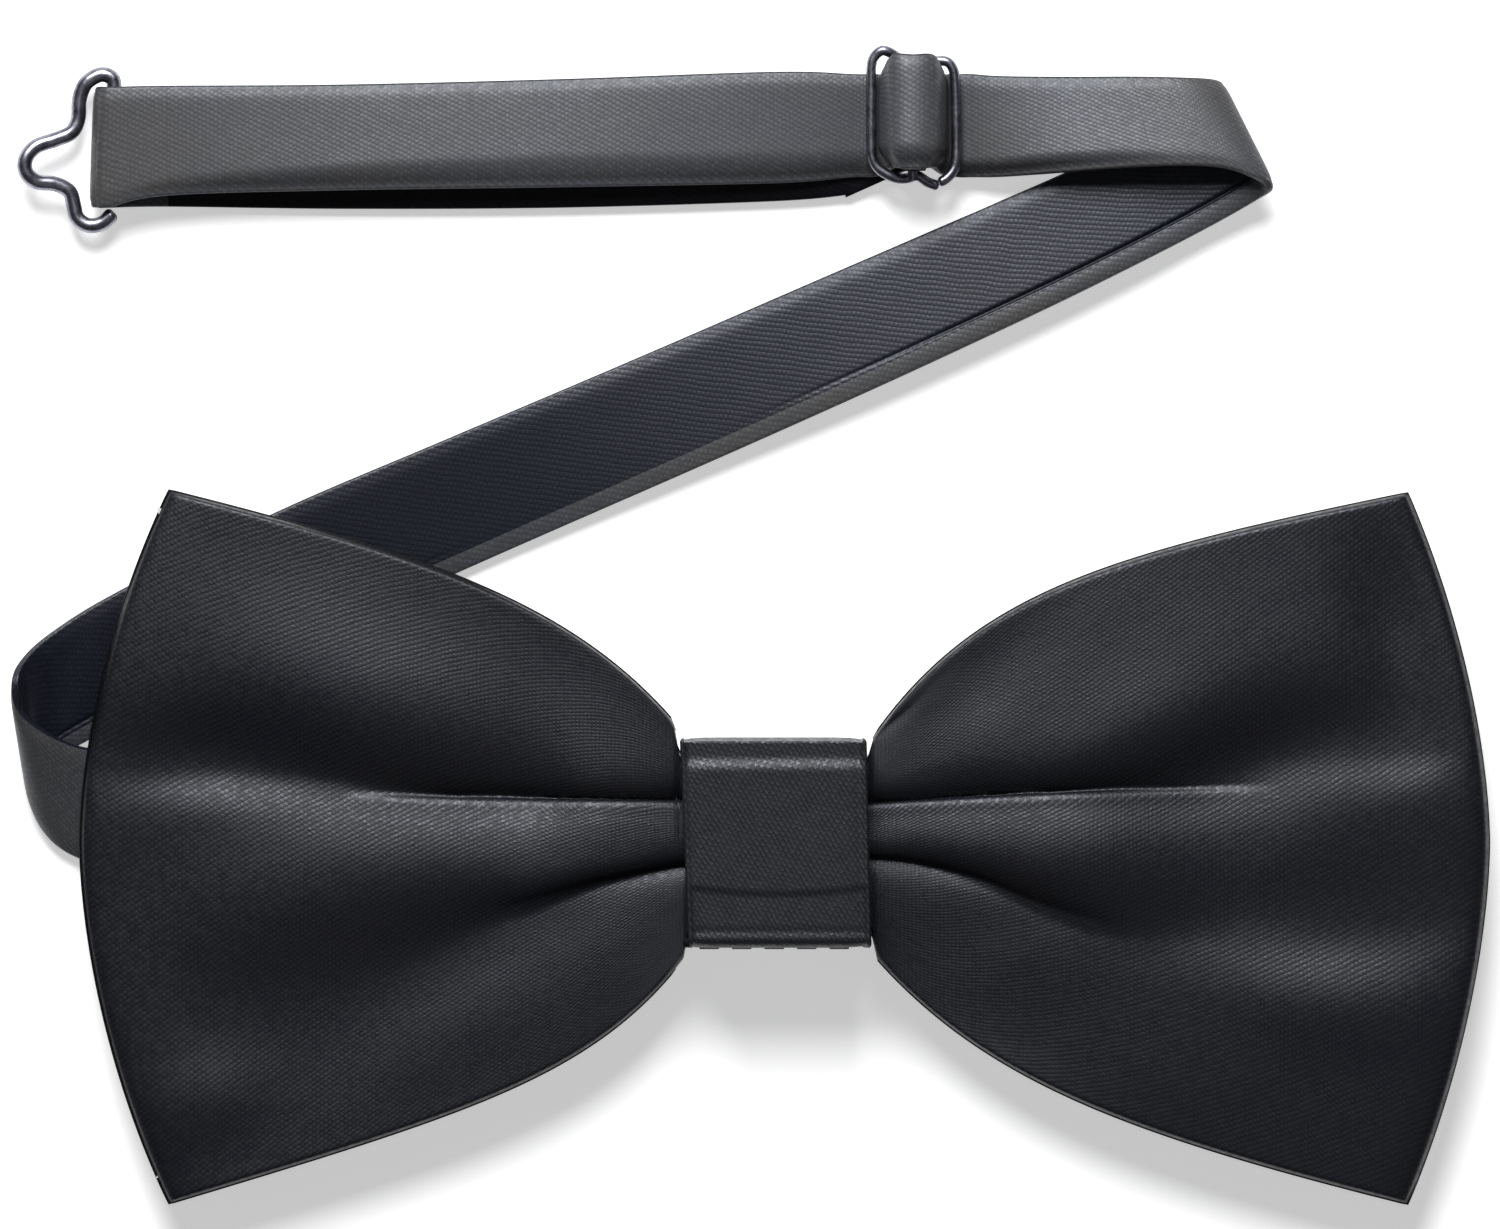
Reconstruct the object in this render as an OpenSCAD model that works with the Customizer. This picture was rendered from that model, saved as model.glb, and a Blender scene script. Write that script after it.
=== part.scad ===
// Pre-tied satin bow tie on an adjustable neckband, lying face up on a flat surface.
// Origin: the centre of the knot's flat back. +X runs across the bow to the short tab,
// +Y is up as worn, +Z comes out of the bow's front. Millimetres.

/* [Bow] */
// Width of the bow, edge to edge
bow_w = 130; // [126:1:134]
// Height of the bow, tip to tip
bow_h = 65.8; // [62:0.2:68]
// How far the outer edge bulges beyond the tips
edge_bulge = 8; // [5:0.5:10]
// Height of the wings' side seam above the back of the knot
seam_z = 5.6; // [5.4:0.1:6.5]
// Rise of the front panel above its rim
front_puff = 4.2; // [3:0.1:4.4]
// Drop of the back panel below its rim
back_puff = 1.6; // [0.6:0.1:1.8]
// Thickness of each satin panel
panel_t = 0.7; // [0.5:0.1:0.7]

/* [Knot] */
// Width of the knot along the bow
knot_w = 17.4; // [15:0.2:19]
// Height of the knot
knot_h = 19.4; // [19:0.2:21]
// Depth of the knot, back to front
knot_d = 12; // [12:0.1:13]
// Thickness of the cloth wrapped round the knot
wrap_t = 0.9; // [0.7:0.1:0.9]

/* [Neckband] */
// Thickness of the flattened satin tube
band_t = 1.1; // [1:0.05:1.2]
// Thickness of the satin on each side of the tube
satin_t = 0.35; // [0.3:0.05:0.35]
// Width of the short tab behind the bow
tab_w = 11.4; // [10:0.2:12]
// Length of the short tab from the knot's centre to its turned end
tab_len = 42; // [36:1:44]

/* [Hardware] */
// Wire diameter of the slide adjuster
adjuster_wire = 0.95; // [0.8:0.05:1]
// Width of the slide adjuster between the centres of its side bars
adjuster_w = 7.9; // [7.8:0.1:8.2]
// Height of the slide adjuster between the centres of its end bars
adjuster_h = 11.8; // [11.4:0.1:12.4]
// Wire diameter of the end hook
hook_wire = 1.4; // [1.2:0.1:1.5]

/* [Hidden] */
$fn = 48;

satin_black = [0.13, 0.135, 0.15];
satin_grey = [0.38, 0.39, 0.41];
lining_white = [0.8, 0.8, 0.78];
gunmetal = [0.4, 0.41, 0.47];

// ---- Curves and swept solids ----

function unit(v) = v / norm(v);

// Point at t from b to c on the smooth curve through a, b, c, d
function between(a, b, c, d, t) =
  0.5 * (2 * b + (c - a) * t + (2 * a - 5 * b + 4 * c - d) * t * t + (3 * b - a - 3 * c + d) * t * t * t);

// Smooth curve through hand-placed points, with `steps` pieces between neighbours
function smooth(pts, steps) = let (last = len(pts) - 1) [
  for (i = [0 : last - 1]) for (k = [0 : steps - 1])
    between(pts[max(i - 1, 0)], pts[i], pts[i + 1], pts[min(i + 2, last)], k / steps),
  pts[last]
];

function part_of(list, first, last) = [for (i = [first : last]) list[i]];

// Stadium outline of a flattened tube: w wide, t thick
function stadium(w, t) = [
  for (side = [1, -1]) for (a = [-90 : 45 : 90])
    [side * ((w - t) / 2 + t / 2 * cos(a)), side * t / 2 * sin(a)]
];

// Rings of a strap that lies between two edge curves, trimmed on each edge and of thickness t
function strap_rings(low, high, t, trim) = let (last = len(low) - 1) [
  for (i = [0 : last])
    let (
      centre = (low[i] + high[i]) / 2,
      across = unit(high[i] - low[i]),
      ahead = min(i + 1, last),
      behind = max(i - 1, 0),
      along = unit(low[ahead] + high[ahead] - low[behind] - high[behind]),
      out = unit(cross(along, across))
    )
      [for (p = stadium(norm(high[i] - low[i]) - 2 * trim, t)) centre + across * p[0] + out * p[1]]
];

// Rings of a round wire along a curve
function wire_rings(path, d, sides, up) = let (last = len(path) - 1) [
  for (i = [0 : last])
    let (
      along = unit(path[min(i + 1, last)] - path[max(i - 1, 0)]),
      side = unit(cross(along, up)),
      rise = cross(along, side),
      turn = 360 / sides
    )
      [for (k = [0 : sides - 1]) path[i] + d / 2 * (side * cos(turn * k) + rise * sin(turn * k))]
];

// Side faces between neighbouring rings of n points, the first of which starts at point `from`
function side_faces(count, n, from, flip) = [
  for (i = [0 : count - 2]) for (k = [0 : n - 1])
    let (
      a = from + i * n + k,
      b = from + i * n + (k + 1) % n,
      c = b + n,
      d = a + n
    )
      each (flip ? [[a, b, c], [a, c, d]] : [[a, c, b], [a, d, c]])
];

// Solid swept through a list of rings
module solid_sweep(rings) {
  n = len(rings[0]);
  count = len(rings);
  end = (count - 1) * n;
  caps = [for (k = [1 : n - 2]) each [[0, k, k + 1], [end, end + k + 1, end + k]]];
  polyhedron(points = [for (ring = rings) each ring], faces = concat(side_faces(count, n, 0, false), caps));
}

// Hollow sleeve between outer and inner rings, open at both ends
module sleeve(outer, inner) {
  n = len(outer[0]);
  count = len(outer);
  half = n * count;
  end = (count - 1) * n;
  rims = [
    for (k = [0 : n - 1])
      let (j = (k + 1) % n)
        each [
          [k, j, half + j], [k, half + j, half + k],
          [end + k, half + end + j, end + j], [end + k, half + end + k, half + end + j]
        ]
  ];
  polyhedron(
    points = [for (ring = outer) each ring, for (ring = inner) each ring],
    faces = concat(side_faces(count, n, 0, false), side_faces(count, n, half, true), rims)
  );
}

// Rounded rectangle, w by h with corner radius r
module rounded_rect(w, h, r) {
  square([w - 2 * r, h], center = true);
  square([w, h - 2 * r], center = true);
  for (sx = [-1, 1]) for (sy = [-1, 1])
    translate([sx * (w / 2 - r), sy * (h / 2 - r)]) circle(r);
}

// Round bar of diameter d along Y from y0 to y1
module bar_y(x, z, d, y0, y1) {
  translate([x, y0, z]) rotate([-90, 0, 0]) cylinder(d = d, h = y1 - y0);
}

// ---- Bow ----

gather_x = knot_w / 2;
// Room for the waist thread between the gathered cloth and the wrap
thread_room = 0.8;
waist_half_h = knot_h / 2 - wrap_t - thread_room;
tip_x = bow_w / 2 - edge_bulge;
// Slope of the wings' edges far from the knot, and the distance over which the gathers open out
flare = 0.22;
opening = 9.6;
spread = (bow_h / 2 - waist_half_h - flare * (tip_x - gather_x)) / (1 - exp((gather_x - tip_x) / opening));

// Half the bow's height at distance x from the knot's centre
function half_h(x) = let (run = max(0, x - gather_x))
  waist_half_h + spread * (1 - exp(-run / opening)) + flare * run;

edge_power = 1.7;
// Distance from the knot's centre to the outer edge, at v from -1 (lower tip) to 1 (upper tip)
function edge_x(v) = tip_x + edge_bulge * (1 - pow(abs(v), edge_power));

// Share of the columns that lie under the knot
waist_share = 0.16;
// X at column c (-1 to 1) and row v
function bow_x(c, v) = let (a = abs(c), s = sign(c))
  a < waist_share ? s * gather_x * a / waist_share
  : s * (gather_x + (edge_x(v) - gather_x) * (a - waist_share) / (1 - waist_share));

// Soft fall of a panel towards its outer edge
function fall(c) = let (u = max(0, (abs(c) - waist_share) / (1 - waist_share))) sqrt(max(0, 1 - pow(u, 5)));

// Depth of the two creases that run out from the knot
function crease(x, y) = let (
    run = max(0, x - gather_x),
    deep = 2.2 * exp(-run / 18),
    wide = 1.1 + 0.07 * run,
    upper = y - 3.6 - 0.03 * run,
    lower = y + 1.6 + 0.1 * run + 0.0065 * run * run
  )
    deep * (exp(-pow(upper / wide, 2)) + exp(-pow(lower / wide, 2)));

// Height of each panel's edge from the middle of the seam, and how much flatter the panels are in the waist
rim = 0.9;
waist_ease = 0.6;
function dome(c, v, puff) = let (x = abs(bow_x(c, v)), ease = x < gather_x + 0.1 ? waist_ease : 0)
  (puff - ease) * sqrt(1 - pow(v, 4)) * fall(c);

function front_z(c, v) = let (x = abs(bow_x(c, v)), y = v * half_h(x))
  seam_z + rim + max(0, dome(c, v, front_puff) - crease(x, y));
function back_z(c, v) = seam_z - rim - dome(c, v, back_puff);

columns = 20;
rows = 12;

// Sheet of thickness t under (way = -1) or over (way = 1) one of the two bow surfaces
module bow_sheet(front, way) {
  across = 2 * rows + 1;
  half = (2 * columns + 1) * across;
  grid = [for (i = [-columns : columns]) for (j = [-rows : rows]) [i / columns, j / rows]];
  outer = [for (g = grid) let (x = bow_x(g[0], g[1]))
    [x, g[1] * half_h(abs(x)), front ? front_z(g[0], g[1]) : back_z(g[0], g[1])]];
  inner = [for (p = outer) p + [0, 0, way * panel_t]];
  skin = [for (i = [0 : 2 * columns - 1]) for (j = [0 : across - 2]) let (a = i * across + j)
    each [[a, a + 1, a + across + 1], [a, a + across + 1, a + across]]];
  border = concat(
    [for (j = [0 : across - 2]) j],
    [for (i = [0 : 2 * columns - 1]) i * across + across - 1],
    [for (j = [0 : across - 2]) half - 1 - j],
    [for (i = [0 : 2 * columns - 1]) half - across - i * across]
  );
  wall = [for (k = [0 : len(border) - 1]) let (a = border[k], b = border[(k + 1) % len(border)])
    each [[a, half + b, b], [a, half + a, half + b]]];
  faces = concat(skin, [for (f = skin) [half + f[0], half + f[2], half + f[1]]], wall);
  polyhedron(points = concat(outer, inner), faces = way < 0 ? faces : [for (f = faces) [f[0], f[2], f[1]]]);
}

module bow_front_panel() {
  color(satin_black) bow_sheet(true, -1);
}

module bow_back_panel() {
  color(satin_black) bow_sheet(false, 1);
}

// Flat stiffener between the two panels, inside the seam all round
lining_t = 0.3;
module bow_interlining() {
  inset_y = 0.94;
  inset_x = 0.965;
  function top(i) = let (x = bow_x(i / columns, 1)) [x, inset_y * half_h(abs(x))];
  function side(j) = let (x = edge_x(j / rows)) [inset_x * x, inset_y * j / rows * half_h(x)];
  outline = [
    for (i = [-columns : columns]) top(i),
    for (j = [rows - 1 : -1 : 1 - rows]) side(j),
    for (i = [columns : -1 : -columns]) [top(i)[0], -top(i)[1]],
    for (j = [1 - rows : rows - 1]) [-side(j)[0], side(j)[1]]
  ];
  color(lining_white) translate([0, 0, seam_z - lining_t / 2]) linear_extrude(lining_t) polygon(outline);
}

thread_d = 0.4;
thread_gap = 0.1;
// Four turns of thread round the gathered waist, under the knot
module waist_thread() {
  core_low = seam_z - rim - back_puff + waist_ease;
  core_high = seam_z + rim + front_puff - waist_ease;
  inner_h = 2 * (waist_half_h + thread_gap);
  inner_d = core_high - core_low + 2 * thread_gap;
  for (x = [-3 : 2 : 3]) color(satin_black)
    translate([x - thread_d / 2, 0, (core_low + core_high) / 2]) rotate([90, 0, 90]) linear_extrude(thread_d)
      difference() {
        rounded_rect(inner_h + 2 * thread_d, inner_d + 2 * thread_d, 1 + thread_d);
        rounded_rect(inner_h, inner_d, 1);
      }
}

// ---- Knot ----

knot_r = 3;
module knot_wrap() {
  color(satin_grey) translate([-knot_w / 2, 0, knot_d / 2]) rotate([90, 0, 90]) linear_extrude(knot_w)
    difference() {
      rounded_rect(knot_h, knot_d, knot_r);
      rounded_rect(knot_h - 2 * wrap_t, knot_d - 2 * wrap_t, knot_r - wrap_t);
    }
}

// Stiffener strip behind the knot's front face
module knot_interlining() {
  lining_w = knot_w - 3;
  lining_h = knot_h - 2 * knot_r;
  slack = 0.05;
  color(lining_white) translate([-lining_w / 2, -lining_h / 2, knot_d - wrap_t - lining_t - slack])
    cube([lining_w, lining_h, lining_t]);
}

stitch_d = 0.3;
// A row of short stitches along Y or X, sunk half way into the cloth
module stitch_row(count, pitch, long, along_x) {
  rotate(along_x ? 0 : 90) for (k = [0 : count - 1])
    translate([(k - (count - 1) / 2) * pitch, 0, 0]) rotate([0, 90, 0])
      cylinder(d = stitch_d, h = long, center = true, $fn = 16);
}

// Hand stitches that close the wrap, on the lower face of the knot
module knot_stitches() {
  color(satin_black) translate([0, -knot_h / 2, knot_r + 1]) stitch_row(5, 3, 1.8, true);
}

// ---- Neckband ----
// Each station of the band is a pair: a point on its lower edge and one on its upper edge.

steps = 3;

near_stations = [
  [[0.2, -5.7, 1.6], [0.2, 5.7, 1.6]],
  [[-9, -5.7, 1.6], [-9, 6.1, 1.6]],
  [[-25, -4.6, 1.4], [-25, 7.2, 1.4]],
  [[-42, -3.4, 1.1], [-42, 8.3, 1.2]],
  [[-55, -2.5, 0.9], [-55, 8.9, 1.9]]
];
turn_stations = [
  [[-61, -2.2, 0.8], [-60.5, 8.8, 2.9]],
  [[-64, -1.7, 0.8], [-63.8, 8.9, 3.6]],
  [[-66.4, -0.3, 0.8], [-67.1, 10.3, 5.6]],
  [[-68, 2, 0.8], [-69.4, 12.3, 6.6]],
  [[-68.6, 5, 0.8], [-70, 14.9, 7.2]],
  [[-67.6, 6.8, 0.8], [-69.2, 17.1, 5.6]],
  [[-64.2, 8.9, 0.8], [-66.4, 19.7, 3.9]],
  [[-56.6, 12.6, 0.8], [-60.6, 23.3, 2.9]]
];
diagonal_stations = [
  [[-41.5, 19.3, 0.7], [-46.1, 30.6, 2.4]],
  [[-26, 26.2, 0.7], [-30.5, 37.3, 1.8]],
  [[-7, 34.5, 1.4], [-11.5, 45.4, 0.8]],
  [[9.8, 42, 2.2], [5.4, 52.7, 0.7]],
  [[24, 48.6, 2.4], [19.8, 58.9, 0.7]],
  [[33, 53, 2.3], [29, 63, 0.7]]
];
fold_stations = [
  [[40, 56.6, 2.1], [35.3, 66.3, 0.8]],
  [[44.6, 59.2, 2.7], [39.3, 69, 1]],
  [[45.9, 60.2, 4], [40.9, 70, 1.6]],
  [[44.4, 61.2, 4.9], [40.4, 70.5, 2.5]],
  [[41, 62.2, 5.1], [37.5, 70.7, 3.2]],
  [[35, 62.3, 5], [33, 70.8, 3.1]]
];
run_stations = [
  [[27, 61.9, 4.3], [27, 70.8, 2.6]],
  [[21, 61.4, 3.1], [21, 70.9, 2.4]]
];

// Places of the adjuster's centre bar and of the end bar that the strap turns round
bar_x = 12.8;
bar_z = 3.6;
adjuster_y = 67;
end_x = -61;
end_z = 2;
low_z = 0.65;
pass_z = 2.4;

// The strap under both side bars and over the centre bar
pass_heights = [
  [5.5, 0], [4.3, 0], [3.4, 0.1], [2.75, 0.85], [2.45, 2.1], [1.7, 3.2], [0, 3.6],
  [-1.7, 3.2], [-2.45, 2.1], [-2.75, 0.85], [-3.4, 0.1], [-4.3, 0], [-5.5, 0]
];
// Edges of the strap there, and how far they spread and tilt where it bulges over the bar
pass_low = 61.3;
pass_high = 71.1;
swell_low = 0.8;
swell_high = 1.7;
swell_tilt = 0.45;
swell_full = 0.5;
// The upper edge spreads, and the lower edge lifts, only where the strap is already above the frame
late_from = 1.7;
late_full = 1.3;
pass_stations = [
  for (p = pass_heights)
    let (
      x = bar_x + p[0],
      z = pass_z + p[1],
      early = min(1, p[1] / swell_full),
      late = min(1, max(0, p[1] - late_from) / late_full)
    )
      [[x, pass_low + swell_low * early, z + swell_tilt * late * p[1]], [x, pass_high + swell_high * late, z]]
];
upper_stations = [
  [[0, 60.8, 3], [0, 71.3, 2.4]],
  [[-20, 60.5, 3.8], [-20, 70.6, 2.4]],
  [[-40, 60.2, 3.9], [-40, 70.1, 2.7]]
];
// The turn round the hook's bar: its radius, its two edges and the slant of its nose
turn_r = end_z - low_z;
end_low = 58.5;
end_high = 69.9;
end_slant = 0.4;
end_stations = [
  [[-56, 59.6, 3.5], [-56, 70, 3.2]],
  for (a = [90 : 45 : 270])
    let (x = end_x + turn_r * cos(a), z = end_z + turn_r * sin(a))
      [[x - end_slant, end_low, z], [x, end_high, z]],
  [[-56, 58.6, low_z], [-56, 69.8, low_z]]
];
lower_stations = [
  [[-40, 58.4, low_z], [-40, 69.6, low_z]],
  [[-20, 58.5, low_z], [-20, 69.8, low_z]],
  [[0, 59.1, low_z], [0, 70.4, low_z]],
  [[7, 59.7, low_z + 0.1], [7, 70.8, low_z + 0.1]]
];

stations = concat(
  near_stations, turn_stations, diagonal_stations, fold_stations, run_stations,
  pass_stations, upper_stations, end_stations, lower_stations
);
low_edge = smooth([for (s = stations) s[0]], steps);
high_edge = smooth([for (s = stations) s[1]], steps);
outer_rings = strap_rings(low_edge, high_edge, band_t, 0);
inner_rings = strap_rings(low_edge, high_edge, band_t - 2 * satin_t, satin_t);

// Ring numbers at which the band passes from one stretch to the next
turn_at = steps * len(near_stations);
diagonal_at = turn_at + steps * len(turn_stations);
fold_at = diagonal_at + steps * len(diagonal_stations);
run_at = fold_at + steps * (len(fold_stations) - 1);
pass_at = run_at + steps * (len(run_stations) + 1);
upper_at = pass_at + steps * (len(pass_stations) - 1);
end_at = upper_at + steps * (len(upper_stations) + 1);
lower_at = end_at + steps * (len(end_stations) - 1);
last_ring = len(outer_rings) - 1;

// One stretch of the sewn satin tube
module satin_tube(first, last) {
  sleeve(part_of(outer_rings, first, last), part_of(inner_rings, first, last));
}

module neckband_near() {
  color(satin_grey) satin_tube(0, turn_at);
}

module neckband_turn() {
  color(satin_black) satin_tube(turn_at, diagonal_at);
}

module neckband_diagonal() {
  color(satin_black) satin_tube(diagonal_at, fold_at);
}

module neckband_fold() {
  color(satin_grey) satin_tube(fold_at, run_at);
}

module neckband_run() {
  color(satin_grey) solid_sweep(part_of(outer_rings, run_at, pass_at));
}

// Woven stiffener inside the sewn tube, from the knot to the right-hand fold
module neckband_interlining() {
  slack = 0.06;
  rings = strap_rings(low_edge, high_edge, band_t - 2 * satin_t - 2 * slack, satin_t + 2 * slack);
  color(lining_white) solid_sweep(part_of(rings, 0, run_at));
}

module adjuster_pass() {
  color(satin_grey) solid_sweep(part_of(outer_rings, pass_at, upper_at));
}

module strap_loop_upper() {
  color(satin_grey) solid_sweep(part_of(outer_rings, upper_at, end_at));
}

module strap_end_turn() {
  color(satin_grey) solid_sweep(part_of(outer_rings, end_at, lower_at));
}

module strap_loop_lower() {
  color(satin_black) solid_sweep(part_of(outer_rings, lower_at, last_ring));
}

// ---- Slide adjuster ----

tail_t = 0.75;
bar_gap = 0.13;
tail_r = adjuster_wire / 2 + bar_gap + tail_t / 2;
// Where the tail is stitched to the strap's end
stitch_x = 9.4;
stitch_z = 0.95;
// The strap's end, brought up from below and turned round the centre bar
tail_path = [
  [7.3, low_z + 0.1], [stitch_x, stitch_z], [11.3, 1.5],
  for (a = [-90 : 45 : 170]) [bar_x + tail_r * cos(a), bar_z + tail_r * sin(a)]
];
// Edges of the tail, and how fast its lower edge spreads away from the bar
tail_low = 61.9;
tail_high = 70.8;
tail_taper = 0.45;
tail_square = 0.8;
module tail_loop() {
  path = smooth(tail_path, 2);
  low = [for (p = path) [p[0], tail_low - tail_taper * max(0, bar_x - tail_square - p[0]), p[1]]];
  high = [for (p = path) [p[0], tail_high, p[1]]];
  color(satin_black) solid_sweep(strap_rings(low, high, tail_t, 0));
}

module tail_stitches() {
  color(satin_black) translate([stitch_x, (tail_low + tail_high) / 2, stitch_z - tail_t / 2])
    stitch_row(5, 1.7, 1.1, false);
}

frame_r = 1.8;
// Open rectangle of round wire: straight sides and quarter-round corners
module adjuster_frame() {
  side_l = adjuster_h - 2 * frame_r;
  end_l = adjuster_w - 2 * frame_r;
  color(gunmetal) translate([bar_x, adjuster_y, bar_z]) {
    for (s = [-1, 1]) {
      translate([s * adjuster_w / 2, 0, 0]) rotate([90, 0, 0])
        cylinder(d = adjuster_wire, h = side_l, center = true);
      translate([0, s * adjuster_h / 2, 0]) rotate([0, 90, 0])
        cylinder(d = adjuster_wire, h = end_l, center = true);
    }
    for (sx = [-1, 1]) for (sy = [-1, 1])
      translate([sx * end_l / 2, sy * side_l / 2, 0])
        rotate([0, 0, sx > 0 ? (sy > 0 ? 0 : 270) : (sy > 0 ? 90 : 180)])
          rotate_extrude(angle = 90) translate([frame_r, 0]) circle(d = adjuster_wire, $fn = 24);
  }
}

// Its upper end stops just short of the middle of the frame's wire
bar_short = 0.4;
module adjuster_bar() {
  low = adjuster_y - adjuster_h / 2;
  high = adjuster_y + adjuster_h / 2 - bar_short;
  color(gunmetal) bar_y(bar_x, bar_z, adjuster_wire, low, high);
}

// ---- End hook ----

// Route of the hook's wire: from the hidden bar, round the upper corner, out to the nose and back
hook_route = [
  [-61, 70.1, 2], [-61.3, 70.7, 2], [-62.3, 70.9, 2], [-63.6, 70.1, 2], [-64.2, 68.6, 2], [-64.3, 66.9, 2],
  [-64.9, 65.6, 2.1], [-66.2, 64.9, 2.3], [-67.8, 64.3, 2.6], [-68.8, 63.2, 2.8], [-68.8, 61.9, 2.8],
  [-67.8, 61, 2.6], [-66.2, 60.8, 2.3], [-65.1, 60.1, 2.1], [-64.7, 58.8, 2], [-64.4, 57.7, 2],
  [-63.4, 57, 2], [-62.1, 57.2, 2], [-61, 58.2, 2]
];
hook_bar_low = 57.9;
hook_bar_high = 70.4;
module band_hook() {
  color(gunmetal) {
    solid_sweep(wire_rings(smooth(hook_route, 3), hook_wire, 12, [0, 0, 1]));
    bar_y(end_x, end_z, hook_wire, hook_bar_low, hook_bar_high);
  }
}

// ---- Short tab and its eye, behind the wing on the +X side ----

eye_wire = 1.2;
tab_z = 1.6;
eye_l = 6.5;
eye_r = 0.9;
// Room for the tab between the eye's two ends
eye_room = 2.2;
eye_w = tab_w + eye_room;
// Offset of the tab's two layers from its middle, and the room between eye and cloth
tab_lift = 0.3;
eye_gap = 0.1;
tab_turn_r = eye_wire / 2 + eye_gap + band_t / 4;

// Two thin layers that run out from the knot, with the eye's bar held in the turned end
module tab_strap() {
  layer = band_t / 2 - 0.05;
  path = [
    [0.6, tab_z + tab_lift], [9, tab_z + tab_lift],
    [tab_len - 8, tab_z + tab_lift], [tab_len - 3, tab_z + 0.7],
    for (a = [105 : -35 : -105]) [tab_len + tab_turn_r * cos(a), tab_z + tab_turn_r * sin(a)],
    [tab_len - 3, tab_z - 0.7], [tab_len - 8, tab_z - tab_lift], [tab_len - 12, tab_z - tab_lift]
  ];
  centre = smooth(path, 3);
  low = [for (p = centre) [p[0], -tab_w / 2, p[1]]];
  high = [for (p = centre) [p[0], tab_w / 2, p[1]]];
  color(satin_black) solid_sweep(strap_rings(low, high, layer, 0));
}

module tab_stitches() {
  color(satin_black) translate([tab_len - 9, 0, tab_z + tab_lift + band_t / 4])
    stitch_row(6, 1.8, 1.2, false);
}

module tab_eye() {
  far = eye_l - eye_r;
  side = eye_w / 2;
  color(gunmetal) translate([tab_len, 0, tab_z]) {
    rotate([90, 0, 0]) cylinder(d = eye_wire, h = 2 * (side - eye_r), center = true);
    translate([eye_l, 0, 0]) rotate([90, 0, 0]) cylinder(d = eye_wire, h = 2 * (side - eye_r), center = true);
    for (s = [-1, 1]) {
      translate([eye_l / 2, s * side, 0]) rotate([0, 90, 0])
        cylinder(d = eye_wire, h = far - eye_r, center = true);
      translate([far, s * (side - eye_r), 0]) rotate([0, 0, s > 0 ? 0 : 270])
        rotate_extrude(angle = 90) translate([eye_r, 0]) circle(d = eye_wire, $fn = 24);
      translate([eye_r, s * (side - eye_r), 0]) rotate([0, 0, s > 0 ? 90 : 180])
        rotate_extrude(angle = 90) translate([eye_r, 0]) circle(d = eye_wire, $fn = 24);
    }
  }
}

bow_front_panel();
bow_back_panel();
bow_interlining();
waist_thread();
knot_wrap();
knot_interlining();
knot_stitches();
neckband_near();
neckband_turn();
neckband_diagonal();
neckband_fold();
neckband_run();
neckband_interlining();
adjuster_pass();
strap_loop_upper();
strap_end_turn();
strap_loop_lower();
tail_loop();
tail_stitches();
adjuster_frame();
adjuster_bar();
band_hook();
tab_strap();
tab_stitches();
tab_eye();
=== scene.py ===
import math

import bpy
import numpy as np
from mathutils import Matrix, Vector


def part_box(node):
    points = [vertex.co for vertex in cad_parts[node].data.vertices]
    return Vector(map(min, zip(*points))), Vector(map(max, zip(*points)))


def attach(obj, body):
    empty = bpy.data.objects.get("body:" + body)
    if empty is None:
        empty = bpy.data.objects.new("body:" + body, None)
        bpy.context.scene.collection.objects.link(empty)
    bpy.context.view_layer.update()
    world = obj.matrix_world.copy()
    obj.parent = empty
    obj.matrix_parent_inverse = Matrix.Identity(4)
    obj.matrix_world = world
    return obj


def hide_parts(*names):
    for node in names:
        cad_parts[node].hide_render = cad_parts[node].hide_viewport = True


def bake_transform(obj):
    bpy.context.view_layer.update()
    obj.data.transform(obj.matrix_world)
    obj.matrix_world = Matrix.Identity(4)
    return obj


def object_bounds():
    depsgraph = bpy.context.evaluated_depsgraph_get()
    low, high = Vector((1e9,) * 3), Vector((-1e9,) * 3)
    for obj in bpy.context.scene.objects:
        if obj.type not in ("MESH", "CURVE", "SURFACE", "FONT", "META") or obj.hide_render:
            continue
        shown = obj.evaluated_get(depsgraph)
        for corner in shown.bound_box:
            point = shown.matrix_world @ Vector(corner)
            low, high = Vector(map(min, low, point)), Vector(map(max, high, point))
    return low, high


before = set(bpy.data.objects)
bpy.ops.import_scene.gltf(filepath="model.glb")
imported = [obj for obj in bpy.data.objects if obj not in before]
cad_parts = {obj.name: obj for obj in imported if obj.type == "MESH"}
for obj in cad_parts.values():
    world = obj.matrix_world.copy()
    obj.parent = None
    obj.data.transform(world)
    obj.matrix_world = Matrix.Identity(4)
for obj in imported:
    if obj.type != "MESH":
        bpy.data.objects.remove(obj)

# A pre-tied satin bow tie on an adjustable neckband. Lengths here are millimetres in the frame's
# axes: +X across the bow to the short tab, +Y up as worn, +Z out of the bow's front.
MM = 0.001
cad_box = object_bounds()


def corners(node):
    """Lowest and highest corner of a CAD node, in millimetres."""
    low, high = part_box(node)
    return np.array(low) / MM, np.array(high) / MM


# ---- Sizes, read from the frame ----

panel_low, panel_high = corners("bow_front_panel")
back_low, back_high = corners("bow_back_panel")
knot_low, knot_high = corners("knot_wrap")
lining_low, lining_high = corners("bow_interlining")
bar_low, bar_high = corners("adjuster_bar")
eye_low, eye_high = corners("tab_eye")
tab_low, tab_high = corners("tab_strap")

bow_reach = panel_high[0]
bow_half_h = panel_high[1]
seam_z = (lining_low[2] + lining_high[2]) / 2
knot_half_w = knot_high[0]
knot_half_h = knot_high[1]
knot_depth = knot_high[2]

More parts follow.
